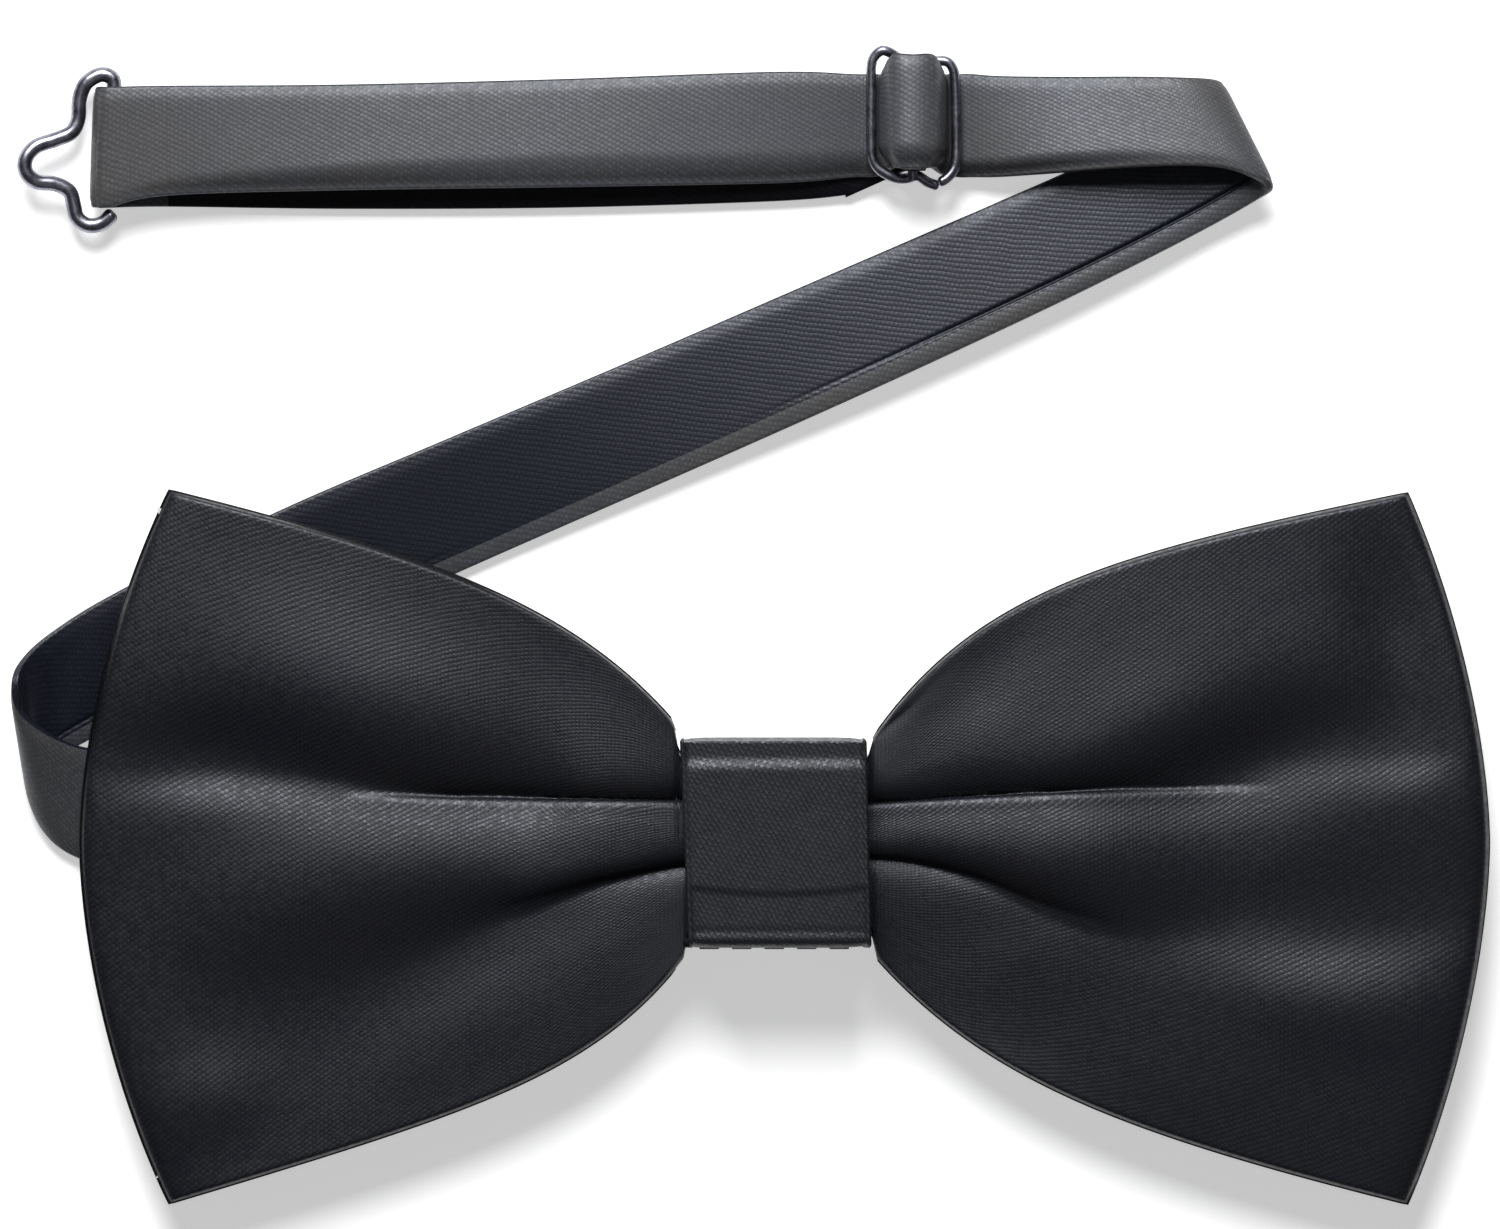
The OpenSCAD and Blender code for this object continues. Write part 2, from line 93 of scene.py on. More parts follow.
# Thicknesses, widths and places that the frame doesn't give, as in the CAD
wrap_t = 0.9
band_t = 1.1
tail_t = 0.75
adjuster_wire = bar_high[0] - bar_low[0]
bar_x = (bar_low[0] + bar_high[0]) / 2
bar_z = (bar_low[2] + bar_high[2]) / 2
adjuster_y = (bar_low[1] + bar_high[1]) / 2
end_x = -61
end_z = 2
hook_wire = 1.4
tab_eye_wire = 1.2
low_z = 0.65
pass_z = 2.4


# ---- Curves and meshes ----

def smooth(points, steps):
    """Catmull-Rom curve through the given points, with `steps` pieces between neighbours."""
    p = np.array(points, float)
    last = len(p) - 1
    t = (np.arange(steps) / steps)[:, None]
    pieces = []
    for i in range(last):
        a, b, c, d = p[max(i - 1, 0)], p[i], p[i + 1], p[min(i + 2, last)]
        curve = 2 * b + (c - a) * t + (2 * a - 5 * b + 4 * c - d) * t**2 + (3 * b - a - 3 * c + d) * t**3
        pieces.append(curve / 2)
    return np.vstack(pieces + [p[-1:]])


def unit(v):
    """v with length 1."""
    return v / np.linalg.norm(v, axis=-1, keepdims=True)


def run_length(path):
    """Distance along a path at each of its points."""
    return np.concatenate([[0], np.cumsum(np.linalg.norm(np.diff(path, axis=0), axis=1))])


def step_up(x, start, end):
    """0 before start, 1 after end, smooth between."""
    t = np.clip((x - start) / (end - start), 0, 1)
    return t * t * (3 - 2 * t)


def make_mesh(name, points, faces, uvs, flat_faces=0):
    """Smooth mesh from points in millimetres; uvs holds one pair for each corner of each face."""
    mesh = bpy.data.meshes.new(name)
    mesh.from_pydata((np.asarray(points) * MM).tolist(), [], faces)
    layer = mesh.uv_layers.new(name="cloth")
    layer.data.foreach_set("uv", np.asarray(uvs, np.float32).ravel())
    smooth_flags = np.ones(len(faces), bool)
    if flat_faces:
        smooth_flags[-flat_faces:] = False
    mesh.polygons.foreach_set("use_smooth", smooth_flags)
    mesh.validate()
    obj = bpy.data.objects.new(name, mesh)
    bpy.context.scene.collection.objects.link(obj)
    return obj


def grid_quads(rows, columns):
    """Quads of a rows by columns grid of points, as an array of point numbers."""
    a = (np.arange(rows - 1)[:, None] * columns + np.arange(columns - 1)[None, :]).ravel()
    return np.stack([a, a + 1, a + columns + 1, a + columns], 1)


def sheet_mesh(name, points, flat, turn_over=False):
    """Open sheet from a grid of points; flat is the cloth coordinate of each point."""
    quads = grid_quads(*points.shape[:2])
    if turn_over:
        quads = quads[:, ::-1]
    return make_mesh(name, points.reshape(-1, 3), quads.tolist(), flat.reshape(-1, 2)[quads])


def with_hairlines(rings, along):
    """The rings with one more just inside each end, which keeps the end faces' shading off the sides."""
    hair = 0.02
    near_first = rings[0] + (rings[1] - rings[0]) * hair / (along[1] - along[0])
    near_last = rings[-1] + (rings[-2] - rings[-1]) * hair / (along[-1] - along[-2])
    rings = np.concatenate([rings[:1], near_first[None], rings[1:-1], near_last[None], rings[-1:]])
    along = np.concatenate([along[:1], [along[0] + hair], along[1:-1], [along[-1] - hair], along[-1:]])
    return rings, along


def tube_mesh(name, rings, along, around, looped=False):
    """Tube swept through rings of points, with closed ends. along and around are cloth coordinates."""
    if not looped:
        rings, along = with_hairlines(rings, along)
    count, n = rings.shape[:2]
    rows = count if looped else count - 1
    i = np.repeat(np.arange(rows), n)
    k = np.tile(np.arange(n), rows)
    j = (i + 1) % count
    m = (k + 1) % n
    quads = np.stack([i * n + k, i * n + m, j * n + m, j * n + k], 1)
    u = np.stack([along[i], along[i], along[i + 1], along[i + 1]], 1)
    v = np.stack([around[k], around[k + 1], around[k + 1], around[k]], 1)
    faces = quads.tolist()
    uvs = np.stack([u, v], 2).reshape(-1, 2).tolist()
    points = rings.reshape(-1, 3)
    if looped:
        return make_mesh(name, points, faces, uvs)
    for end, order in ((0, -1), (count - 1, 1)):
        local = rings[end] - rings[end].mean(0)
        axis = unit(local[np.argmax(np.linalg.norm(local, axis=1))])
        pairs = [[along[end] + 0.1 * c / n, float(local[c] @ axis)] for c in range(n)]
        faces.append([end * n + c for c in range(n)][::order])
        uvs += pairs[::order]
    return make_mesh(name, points, faces, uvs, 2)


UP = np.array([0, 0, 1.0])


def wire_mesh(name, path, d, sides=20):
    """Round wire of diameter d along a path, its ends slightly rounded."""
    path = np.asarray(path, float)
    along = unit(np.gradient(path, axis=0))
    side = unit(np.cross(along, UP))
    rise = np.cross(along, side)
    s = run_length(path)
    to_end = np.minimum(s, s[-1] - s)
    radius = d / 2 * np.sqrt(np.clip(1 - np.clip(1 - to_end / (d * 0.3), 0, 1) ** 2 * 0.75, 0.05, 1))
    a = np.linspace(0, 2 * np.pi, sides, endpoint=False)
    ring = side[:, None, :] * np.cos(a)[None, :, None] + rise[:, None, :] * np.sin(a)[None, :, None]
    rings = path[:, None, :] + ring * radius[:, None, None]
    around = np.linspace(0, np.pi * d, sides + 1)
    return tube_mesh(name, rings[:, ::-1], s, around)


def fine_ends(path, d):
    """The path with extra points close to both ends, for rounded wire ends."""
    s = run_length(path)
    extra = d * np.array([0.03, 0.08, 0.16, 0.3])
    places = np.unique(np.concatenate([s, extra, s[-1] - extra]))
    return np.stack([np.interp(places, s, path[:, k]) for k in range(3)], 1)


# ---- The bow's panels ----

class Wing:
    """Outline of one wing. side is -1 or 1.

    Each edge is (distance from the knot's centre at which it comes out, half height there, spread,
    opening, flare). puff is the front's swell in the middle, curl its lift at the upper tip."""

    def __init__(self, side, reach, tip, upper, lower, puff, curl):
        self.side = side
        self.reach = reach
        self.tip = tip
        self.upper = upper
        self.lower = lower
        self.puff = puff
        self.curl = curl

    def edge_y(self, x, above):
        out, start, spread, opening, flare = self.upper if above else self.lower
        run = x - knot_half_w
        free = start + spread * (1 - np.exp(-run / opening)) + flare * run
        gathered = knot_half_h - wrap_t - 1
        return gathered + (free - gathered) * step_up(x, out, out + 0.7)

    def edge_x(self, v):
        return self.tip + (self.reach - self.tip) * (1 - np.abs(v) ** 1.7)

    def y(self, x, v):
        return np.where(v >= 0, v * self.edge_y(x, True), v * self.edge_y(x, False))


# Each edge's start, spread, opening and flare come from a least-squares fit to the photo's outline
left_wing = Wing(
    -1, bow_reach - 1, bow_reach - 9.2,
    (knot_half_w - 0.1, 10.5, 11.1, 11.5, 0.235),
    (knot_half_w - 1, 11.1, 8.3, 8.5, 0.295),
    puff=0, curl=-0.2,
)
right_wing = Wing(
    1, bow_reach + 0.9, bow_reach - 6.6,
    (knot_half_w - 0.2, 9.1, 13.7, 10.5, 0.192),
    (knot_half_w + 0.1, 9.8, 12.4, 13, 0.229),
    puff=1, curl=0.3,
)


def bump(t, wide_below, wide_above, power):
    """1 at t = 0, falling on each side with its own width; power 1 is a sharp crease, 2 a soft one."""
    wide = np.where(t < 0, wide_below, wide_above)
    return np.exp(-(np.abs(t) / wide) ** power)


def along_wing(x, stations):
    """Value at distance x from the knot's centre, between the stations (x, value)."""
    curve = smooth(stations, 8)
    return np.interp(x, curve[:, 0], curve[:, 1])


class Fold:
    """A valley in a wing's front: its line, depth and width on each side, and how sharp it is.

    overhang is how far the cloth below the line leans over it."""

    def __init__(self, line, depth, below, above, power, overhang=0):
        self.line = smooth(line, 8)
        self.depth = depth
        self.below = below
        self.above = above
        self.power = power
        self.overhang = overhang

    def lean(self, x, y):
        """How far the cloth shifts up over the line at (x, y)."""
        middle = np.interp(x, self.line[:, 0], self.line[:, 1])
        share = along_wing(x, self.depth) / max(depth for _, depth in self.depth)
        return self.overhang * share * np.exp(-(((y - middle + 0.45) / 0.5) ** 2))

    def drop(self, x, y):
        middle = np.interp(x, self.line[:, 0], self.line[:, 1])
        shape = bump(
            y - middle,
            along_wing(x, self.below),
            along_wing(x, self.above),
            along_wing(x, self.power),
        )
        return along_wing(x, self.depth) * shape


# Most numbers of the folds and swells come from a least-squares fit to the photo's shading, rounded
left_folds = [
    Fold([(8, 3.7), (24, 4), (38, 5.4), (46, 6.5), (54, 7.1), (66, 7.3)],
         [(8, 0.9), (16, 0.9), (24, 2.2), (38, 1.4), (50, 0.9), (64, 0.1)],
         [(8, 5), (24, 6), (38, 4), (50, 3)],
         [(8, 7), (24, 6), (40, 4.6)],
         [(8, 0.8), (34, 1.3), (46, 1.7), (60, 2.4)]),
    Fold([(8, 3.7), (24, 4), (38, 4.5), (46, 5)],
         [(8, 1.4), (24, 1), (34, 0.5), (40, 0)],
         [(8, 0.2), (40, 0.2)],
         [(8, 0.9), (40, 0.9)],
         [(8, 1), (40, 1)], overhang=0.5),
    Fold([(8, -2.2), (15.8, -4), (22.4, -6.7), (26.7, -8.2), (38, -13.9), (50, -17.4), (66, -18)],
         [(8, 0.4), (16, 1.3), (27, 1.4), (40, 0.6), (62, 0.1)],
         [(8, 6), (16, 6), (27, 13), (40, 20)],
         [(8, 1.2), (16, 1), (27, 3.3), (40, 9.5)],
         [(8, 1.4), (16, 1.7), (27, 2)]),
    Fold([(8, -2.1), (15.8, -3.4), (22.4, -5.2), (26.7, -6.6)],
         [(8, 0.7), (16, 0.5), (26, 0)],
         [(8, 0.9), (30, 1.2)],
         [(8, 0.3), (30, 0.6)],
         [(8, 1), (30, 1)]),
]
right_folds = [
    Fold([(8, 3.4), (25.6, 4.5), (36, 5), (46, 7.3), (56, 8.4), (68, 9.2)],
         [(8, 0.1), (16, 0.7), (25, 0.8), (36, 2.2), (48, 2.1), (64, 0.1)],
         [(8, 4.5), (24, 3.8), (38, 5.5), (50, 4.6), (62, 2.7)],
         [(8, 5.5), (24, 2.3), (40, 4.8), (60, 5.5)],
         [(8, 1.3), (32, 1.7), (60, 2.1)]),
    Fold([(8, 3.4), (25.6, 4.5), (42, 5.1), (62, 5.6)],
         [(8, 1.4), (24, 1.1), (34, 0.7), (46, 0)],
         [(8, 0.2), (40, 0.2)],
         [(8, 0.9), (40, 1.2)],
         [(8, 1), (40, 1)], overhang=0.5),
    Fold([(8, -1.6), (13, -2.2), (19.2, -4.2), (25.6, -7.2), (32.2, -9), (44, -8.5), (58, -7.4), (68, -5.9)],
         [(8, 0.4), (19, 1.4), (32, 1.4), (44, 1.3), (64, 0.5)],
         [(8, 8), (19, 19), (32, 10), (44, 8), (60, 4.2)],
         [(8, 1), (19, 2.2), (32, 4.1), (44, 8.5)],
         [(8, 1.5), (32, 1.7), (44, 2)]),
    Fold([(8, -1.4), (13, -1.9), (19.2, -3.4), (25.6, -5.9), (32.2, -7.8)],
         [(8, 0.7), (20, 0.5), (32, 0)],
         [(8, 0.9), (30, 1.2)],
         [(8, 0.3), (30, 0.6)],
         [(8, 1), (30, 1)]),
    Fold([(8, 9), (10, 10.5), (12.5, 12.5), (16, 16)],
         [(8, 0.8), (11, 0.5), (14, 0.1), (20, 0)],
         [(8, 0.6), (20, 1)],
         [(8, 0.6), (20, 1)],
         [(8, 1.4), (20, 2)]),
]


class Swell:
    """A soft rise in a wing's front: its middle, reach along and across, turn in degrees, and height."""

    def __init__(self, middle, reach, turn, height):
        self.middle = middle
        self.reach = reach
        self.turn = math.radians(turn)
        self.height = height

    def rise(self, x, y):
        dx, dy = x - self.middle[0], y - self.middle[1]
        along = (dx * math.cos(self.turn) + dy * math.sin(self.turn)) / self.reach[0]
        across = (dy * math.cos(self.turn) - dx * math.sin(self.turn)) / self.reach[1]
        return self.height * np.exp(-(along**2) - across**2)


left_swells = [
    Swell((32, 10), (19, 8), 18, 1.7),
    Swell((43, 19), (11, 11), 30, 0.45),
    Swell((52, -24), (5.5, 4.2), -16, 0.6),
    Swell((31, -2.5), (25, 7), -10, 1.35),
    Swell((54, 8), (10, 4), -15, -0.3),
    Swell((59, -6), (7, 8.5), 6, -0.65),
    Swell((25, -13.5), (17, 6), -42, 1),
]
right_swells = [
    Swell((33, 4), (16, 9), 43, 1.2),
    Swell((57, 20.5), (4.2, 9.6), 13, -1.05),
    Swell((45, -13), (14, 4.7), -11, 0.75),
    Swell((35, -2.5), (25, 3.4), 18, -0.2),
    Swell((29, -13.7), (12.6, 6), -27, 0.25),
    Swell((51, 6.7), (7, 4), 7, 0.65),
    Swell((17, 14), (13.4, 4), 52, -0.5),
]


BOW_SIDES = [(left_wing, left_folds, left_swells), (right_wing, right_folds, right_swells)]


def rim_roll(wing, x, v):
    """0 at the wing's seam, 1 just inside it."""
    y_room = np.where(v >= 0, wing.edge_y(x, True), wing.edge_y(x, False)) * (1 - np.abs(v))
    x_room = np.maximum(wing.edge_x(v) - x, 0)
    return (1 - np.exp(-y_room / 0.12)) * (1 - np.exp(-x_room / 0.25))


def dome(wing, x, v, puff, side_roll, edge_roll, curl):
    """Height of a padded panel over its seam: rolled at its outer side and edges, its upper tip lifting."""
    y_room = np.where(v >= 0, wing.edge_y(x, True), wing.edge_y(x, False)) * (1 - np.abs(v))
    x_room = np.maximum(wing.edge_x(v) - x, 0)
    side = side_roll * (1 - np.exp(-x_room / 2.2)) * (1 - np.exp(-y_room / 0.12))
    edge = edge_roll * rim_roll(wing, x, v)
    outward = np.clip((x - knot_half_w) / (bow_reach - knot_half_w), 0, 1)
    return side + edge + puff * (1 - v**2) + curl * np.maximum(v, 0) ** 3 * outward


def wing_grid(wing, columns, rows):
    """x and v of the points of one wing, from inside the knot to the outer edge."""
    inner = 4.0
    v = np.sin(np.linspace(-1, 1, rows) * np.pi / 2 * 0.92) / np.sin(np.pi / 2 * 0.92)
    share = np.linspace(0, 1, columns) ** 1.25
    x = inner + (wing.edge_x(v)[None, :] - inner) * share[:, None]
    return x, np.broadcast_to(v[None, :], x.shape)


# The front never comes lower over the seam than this, away from its rim
LEAST_ROLL = 0.35


def front_height(wing, folds, swells, x, v):
    """Height of the front over the seam."""
    y = wing.y(x, v)
    z = dome(wing, x, v, wing.puff, 0.8, 0.5, wing.curl)
    fade = 1 - np.abs(v) ** 6
    z = z + sum(swell.rise(x, y) for swell in swells) * fade
    z = z - sum(fold.drop(x, y) for fold in folds) * fade
    waist = step_up(x, knot_half_w + 2.5, knot_half_w - 1)
    inside = 3.2 * np.sqrt(1 - np.abs(v) ** 3)
    free = np.maximum(z, LEAST_ROLL * rim_roll(wing, x, v))
    gathered = np.minimum(np.maximum(z, 0.1), inside)
    return free * (1 - waist) + gathered * waist


def back_height(wing, folds, swells, x, v):
    """Depth of the back under the seam."""
    return dome(wing, x, v, 0.6, 0.6, 0.5, 0)


def settle(obj, most):
    """Runs the back as cloth under a light pressure, held at its seam and waist, moved by at most `most` mm.

    It was meant to fill the back out. Measured, it draws the back in towards the seam instead."""
    scene = bpy.context.scene
    rest = np.array([vertex.co for vertex in obj.data.vertices]) / MM
    held = obj.vertex_groups.new(name="held")
    for wing in (left_wing, right_wing):
        mine = np.where(rest[:, 0] * wing.side > 0)[0]
        x, y = np.abs(rest[mine, 0]), rest[mine, 1]
        edge = np.where(y >= 0, wing.edge_y(x, True), wing.edge_y(x, False))
        v = np.clip(y / edge, -1, 1)
        to_seam = np.minimum(wing.edge_x(v) - x, edge - np.abs(y))
        room = np.minimum(to_seam, x - knot_half_w - 1)
        hold = np.clip(1.2 - room / 2, 0, 1)
        for i, share in zip(mine, hold):
            held.add([int(i)], float(share), "REPLACE")
    cloth = obj.modifiers.new("cloth", "CLOTH")
    cloth.settings.quality = 4
    cloth.settings.mass = 0.0005
    cloth.settings.tension_stiffness = 5
    cloth.settings.compression_stiffness = 5
    cloth.settings.bending_stiffness = 0.05
    cloth.settings.use_pressure = True
    cloth.settings.uniform_pressure_force = -20
    cloth.settings.effector_weights.gravity = 0
    cloth.settings.vertex_group_mass = "held"
    cloth.point_cache.frame_start = 1
    cloth.point_cache.frame_end = 20
    for number in range(1, 21):
        scene.frame_set(number)
    filled = obj.evaluated_get(bpy.context.evaluated_depsgraph_get()).to_mesh()
    moved = np.array([vertex.co for vertex in filled.vertices]) / MM - rest
    obj.modifiers.remove(cloth)
    scene.frame_set(1)
    share = most / np.maximum(np.linalg.norm(moved, axis=1), most)
    settled = (rest + moved * share[:, None]) * MM
    obj.data.vertices.foreach_set("co", settled.ravel())
    obj.data.update()


def panel(name, height, direction, rows, columns):
    """One panel of the bow, with both wings and the gathered waist between them."""
    parts = []
    flats = []
    for wing, folds, swells in BOW_SIDES:
        x, v = wing_grid(wing, columns, rows)
        z = seam_z + direction * (0.08 + height(wing, folds, swells, x, v))
        y = wing.y(x, v)
        cut = 0.8 * bow_half_h + 0.2 * np.where(v >= 0, wing.edge_y(x, True), wing.edge_y(x, False))
        flat = np.stack([wing.side * x, v * cut], 2)
        leaning = sum(fold.lean(x, y) for fold in folds) if direction > 0 else 0
        points = np.stack([wing.side * x, y + leaning, z], 2)
        parts.append(points[::-1] if wing.side < 0 else points)
        flats.append(flat[::-1] if wing.side < 0 else flat)
    points = np.concatenate(parts)
    flat = np.concatenate(flats)
    obj = sheet_mesh(name, points, flat, turn_over=direction > 0)
    if direction < 0:
        settle(obj, 1)
    solid = obj.modifiers.new("thickness", "SOLIDIFY")
    solid.thickness = 0.35 * MM
    solid.offset = -1
    solid.use_rim = True
    return obj


SEAM_THREAD = 0.26


def seam_path(wing):
    """Line of the seam round one wing."""
    xs = np.linspace(knot_half_w + 0.4, wing.tip, 90)
    vs = np.linspace(1, -1, 90)[1:-1]
    upper = np.stack([xs, wing.edge_y(xs, True)], 1)
    outer = np.stack([wing.edge_x(vs), wing.y(wing.edge_x(vs), vs)], 1)
    lower = np.stack([xs[::-1], -wing.edge_y(xs[::-1], False)], 1)
    line = np.concatenate([upper, outer, lower])
    return np.column_stack([wing.side * line[:, 0], line[:, 1], np.full(len(line), seam_z)])


def make_bow():
    front = panel("bow_front", front_height, 1, 241, 190)
    back = panel("bow_back", back_height, -1, 91, 80)
    named = (("seam_left", left_wing), ("seam_right", right_wing))
    seams = [wire_mesh(name, seam_path(wing), SEAM_THREAD, 10) for name, wing in named]
    return front, back, seams


# ---- Knot ----

def knot_loop():
    """The wrap's line in (y, z): a round-cornered rectangle with softer corners at the back."""
    back_r, top_r, foot_r = 2.0, 0.4, 1.0
    arcs = [
        (knot_half_h - back_r, back_r, back_r, -math.pi / 2, 0),
        (knot_half_h - top_r, knot_depth - top_r, top_r, 0, math.pi / 2),
        (-knot_half_h + foot_r, knot_depth - foot_r, foot_r, math.pi / 2, math.pi),
        (-knot_half_h + back_r, back_r, back_r, math.pi, math.pi * 1.5),
    ]
    points = []
    for y, z, r, start, end in arcs:
        for a in np.linspace(start, end, 12):
            points.append((y + r * math.cos(a), z + r * math.sin(a)))
    return np.array(points)


def resample(path, spacing, closed=False):
    """Evenly spaced points along a path."""
    if closed:
        path = np.vstack([path, path[:1]])
    s = run_length(path)
    count = max(int(round(s[-1] / spacing)), 2)
    places = np.linspace(0, s[-1], count + 1)
    if closed:
        places = places[:-1]
    return np.stack([np.interp(places, s, path[:, k]) for k in range(path.shape[1])], 1)


def make_knot():
    """The wrap: a satin strip turned round the waist, with rolled sides, a faint fold line and a taper."""
    loop = resample(knot_loop(), 0.25, closed=True)
    tangent = unit(np.roll(loop, -1, 0) - np.roll(loop, 1, 0))
    normal = np.stack([tangent[:, 1], -tangent[:, 0]], 1)
    front = step_up(loop[:, 1], knot_depth / 2, knot_depth * 0.7)
    # Offsets of the front: the soft fold near the top, and the hem's line near the foot
    brow = -0.28 * step_up(loop[:, 0], 6.7, 8)
    hem = -0.06 * np.exp(-((loop[:, 0] + 8.1) / 0.3) ** 2) + 0.03 * step_up(loop[:, 0], -8.2, -9)
    # The wrap narrows a little towards the foot
    down = (knot_half_h - loop[:, 0]) / (2 * knot_half_h)
    left = -knot_half_w + 0.8 * down * front
    right = knot_half_w - 0.2 + 0.45 * down * front
    corner = np.radians(np.linspace(0, 180, 9))
    half_t = wrap_t / 2
    sides = 30
    rings = []
    for i in range(len(loop)):
        across = np.linspace(left[i] + half_t, right[i] - half_t, sides)
        share = np.linspace(-1, 1, sides)
        sag = 0.6 * (1 - share**2)
        ledge = -0.14 * step_up(loop[i, 0], -3.8 - sag, -4.3 - sag)
        outer = half_t + front[i] * (ledge + hem[i] + brow[i]) - 0.18 * np.abs(share) ** 10
        top = np.stack([across, outer], 1)
        right_roll = np.stack([right[i] - half_t + half_t * np.sin(corner), half_t * np.cos(corner)], 1)
        left_roll = np.stack([left[i] + half_t - half_t * np.sin(corner), -half_t * np.cos(corner)], 1)
        under = np.stack([across[::-1], np.full(sides, -half_t)], 1)
        section = np.concatenate([top, right_roll[1:-1], under, left_roll[1:-1]])
        offset = section[:, 1] - half_t
        y = loop[i, 0] + normal[i, 0] * offset
        z = loop[i, 1] + normal[i, 1] * offset
        rings.append(np.stack([section[:, 0], y, z], 1))
    rings = np.array(rings)
    s = np.append(run_length(loop), run_length(np.vstack([loop, loop[:1]]))[-1])
    section = rings[0]
    around = run_length(np.vstack([section, section[:1]]))
    return tube_mesh("knot", rings, s, around, looped=True), s[-1]


# ---- Neckband ----
# Each station is a pair: a point on the band's lower edge and one on its upper edge.

STRETCHES = {
    "near": [
        [(0.2, -5.7, 1.6), (0.2, 5.7, 1.6)],
        [(-9, -5.7, 1.6), (-9, 6.1, 1.6)],
        [(-25, -4.6, 1.4), (-25, 7.2, 1.4)],
        [(-42, -3.4, 1.1), (-42, 8.3, 1.2)],
        [(-55, -2.5, 0.9), (-55, 8.9, 1.9)],
    ],
    "turn": [
        [(-61, -2.2, 0.8), (-60.5, 8.8, 2.9)],
        [(-64, -1.7, 0.8), (-63.8, 8.9, 3.6)],
        [(-66.4, -0.3, 0.8), (-67.1, 10.3, 5.6)],
        [(-68, 2, 0.8), (-69.4, 12.3, 6.6)],
        [(-68.6, 5, 0.8), (-70, 14.9, 7.2)],
        [(-67.6, 6.8, 0.8), (-69.2, 17.1, 5.6)],
        [(-64.2, 8.9, 0.8), (-66.4, 19.7, 3.9)],
        [(-56.6, 12.6, 0.8), (-60.6, 23.3, 2.9)],
    ],
    "diagonal": [
        [(-41.5, 19.3, 0.7), (-46.1, 30.6, 2.4)],
        [(-26, 26.2, 0.7), (-30.5, 37.3, 1.8)],
        [(-7, 34.5, 1.4), (-11.5, 45.4, 0.8)],
        [(9.8, 42, 2.2), (5.4, 52.7, 0.7)],
        [(24, 48.6, 2.4), (19.8, 58.9, 0.7)],
        [(33, 53, 2.3), (29, 63, 0.7)],
    ],
    "fold": [
        [(40, 56.6, 2.1), (35.3, 66.3, 0.8)],
        [(44.6, 59.2, 2.7), (39.3, 69, 1)],
        [(45.9, 60.2, 4), (40.9, 70, 1.6)],
        [(44.4, 61.2, 4.9), (40.4, 70.5, 2.5)],
        [(41, 62.2, 5.1), (37.5, 70.7, 3.2)],
        [(35, 62.3, 5), (33, 70.8, 3.1)],
    ],
    "run": [
        [(27, 61.9, 4.3), (27, 70.8, 2.6)],
        [(21, 61.4, 3.1), (21, 70.9, 2.4)],
    ],
}

# Height of the strap over the adjuster's centre bar, at distances from it
PASS_HEIGHTS = [
    (5.5, 0), (4.3, 0), (3.4, 0.1), (2.75, 0.85), (2.45, 2.1), (1.7, 3.2), (0, 3.6),
    (-1.7, 3.2), (-2.45, 2.1), (-2.75, 0.85), (-3.4, 0.1), (-4.3, 0), (-5.5, 0)
]


# Edges of the strap beside the adjuster
PASS_LOW, PASS_HIGH = 61.3, 71.1


def pass_stations():
    """The strap over the bar. Above the frame its upper edge spreads and its lower edge lifts."""
    stations = []
    for distance, rise in PASS_HEIGHTS:
        early = min(1, rise / 0.5)
        late = min(1, max(0, rise - 1.7) / 1.3)
        x = bar_x + distance
        z = pass_z + rise
        low = (x, PASS_LOW + 0.8 * early, z + 0.45 * late * rise)
        high = (x, PASS_HIGH + 1.7 * late, z)
        stations.append([low, high])
    return stations


def end_stations():
    """The strap's turn round the hook's hidden bar, with a slight slant."""
    r = end_z - low_z
    end_low, end_high, slant = 58.5, 69.9, 0.4
    stations = [[(-56, 59.6, 3.5), (-56, 70, 3.2)]]
    for a in np.radians(np.arange(90, 271, 45)):
        x = end_x + r * math.cos(a)
        z = end_z + r * math.sin(a)
        stations.append([(x - slant, end_low, z), (x, end_high, z)])
    stations.append([(-56, 58.6, low_z), (-56, 69.8, low_z)])
    return stations


STRETCHES["pass"] = pass_stations()
STRETCHES["upper"] = [
    [(0, 60.8, 3), (0, 71.3, 2.4)],
    [(-20, 60.5, 3.8), (-20, 70.6, 2.4)],
    [(-40, 60.2, 3.9), (-40, 70.1, 2.7)],
]
STRETCHES["end"] = end_stations()
STRETCHES["lower"] = [
    [(-40, 58.4, low_z), (-40, 69.6, low_z)],
    [(-20, 58.5, low_z), (-20, 69.8, low_z)],
    [(0, 59.1, low_z), (0, 70.4, low_z)],
    [(7, 59.7, low_z + 0.1), (7, 70.8, low_z + 0.1)],
]

# Rings between neighbouring stations, and how far the sewn groove lies in from the band's lower edge
STEPS = 9
GROOVE_IN = 1.7


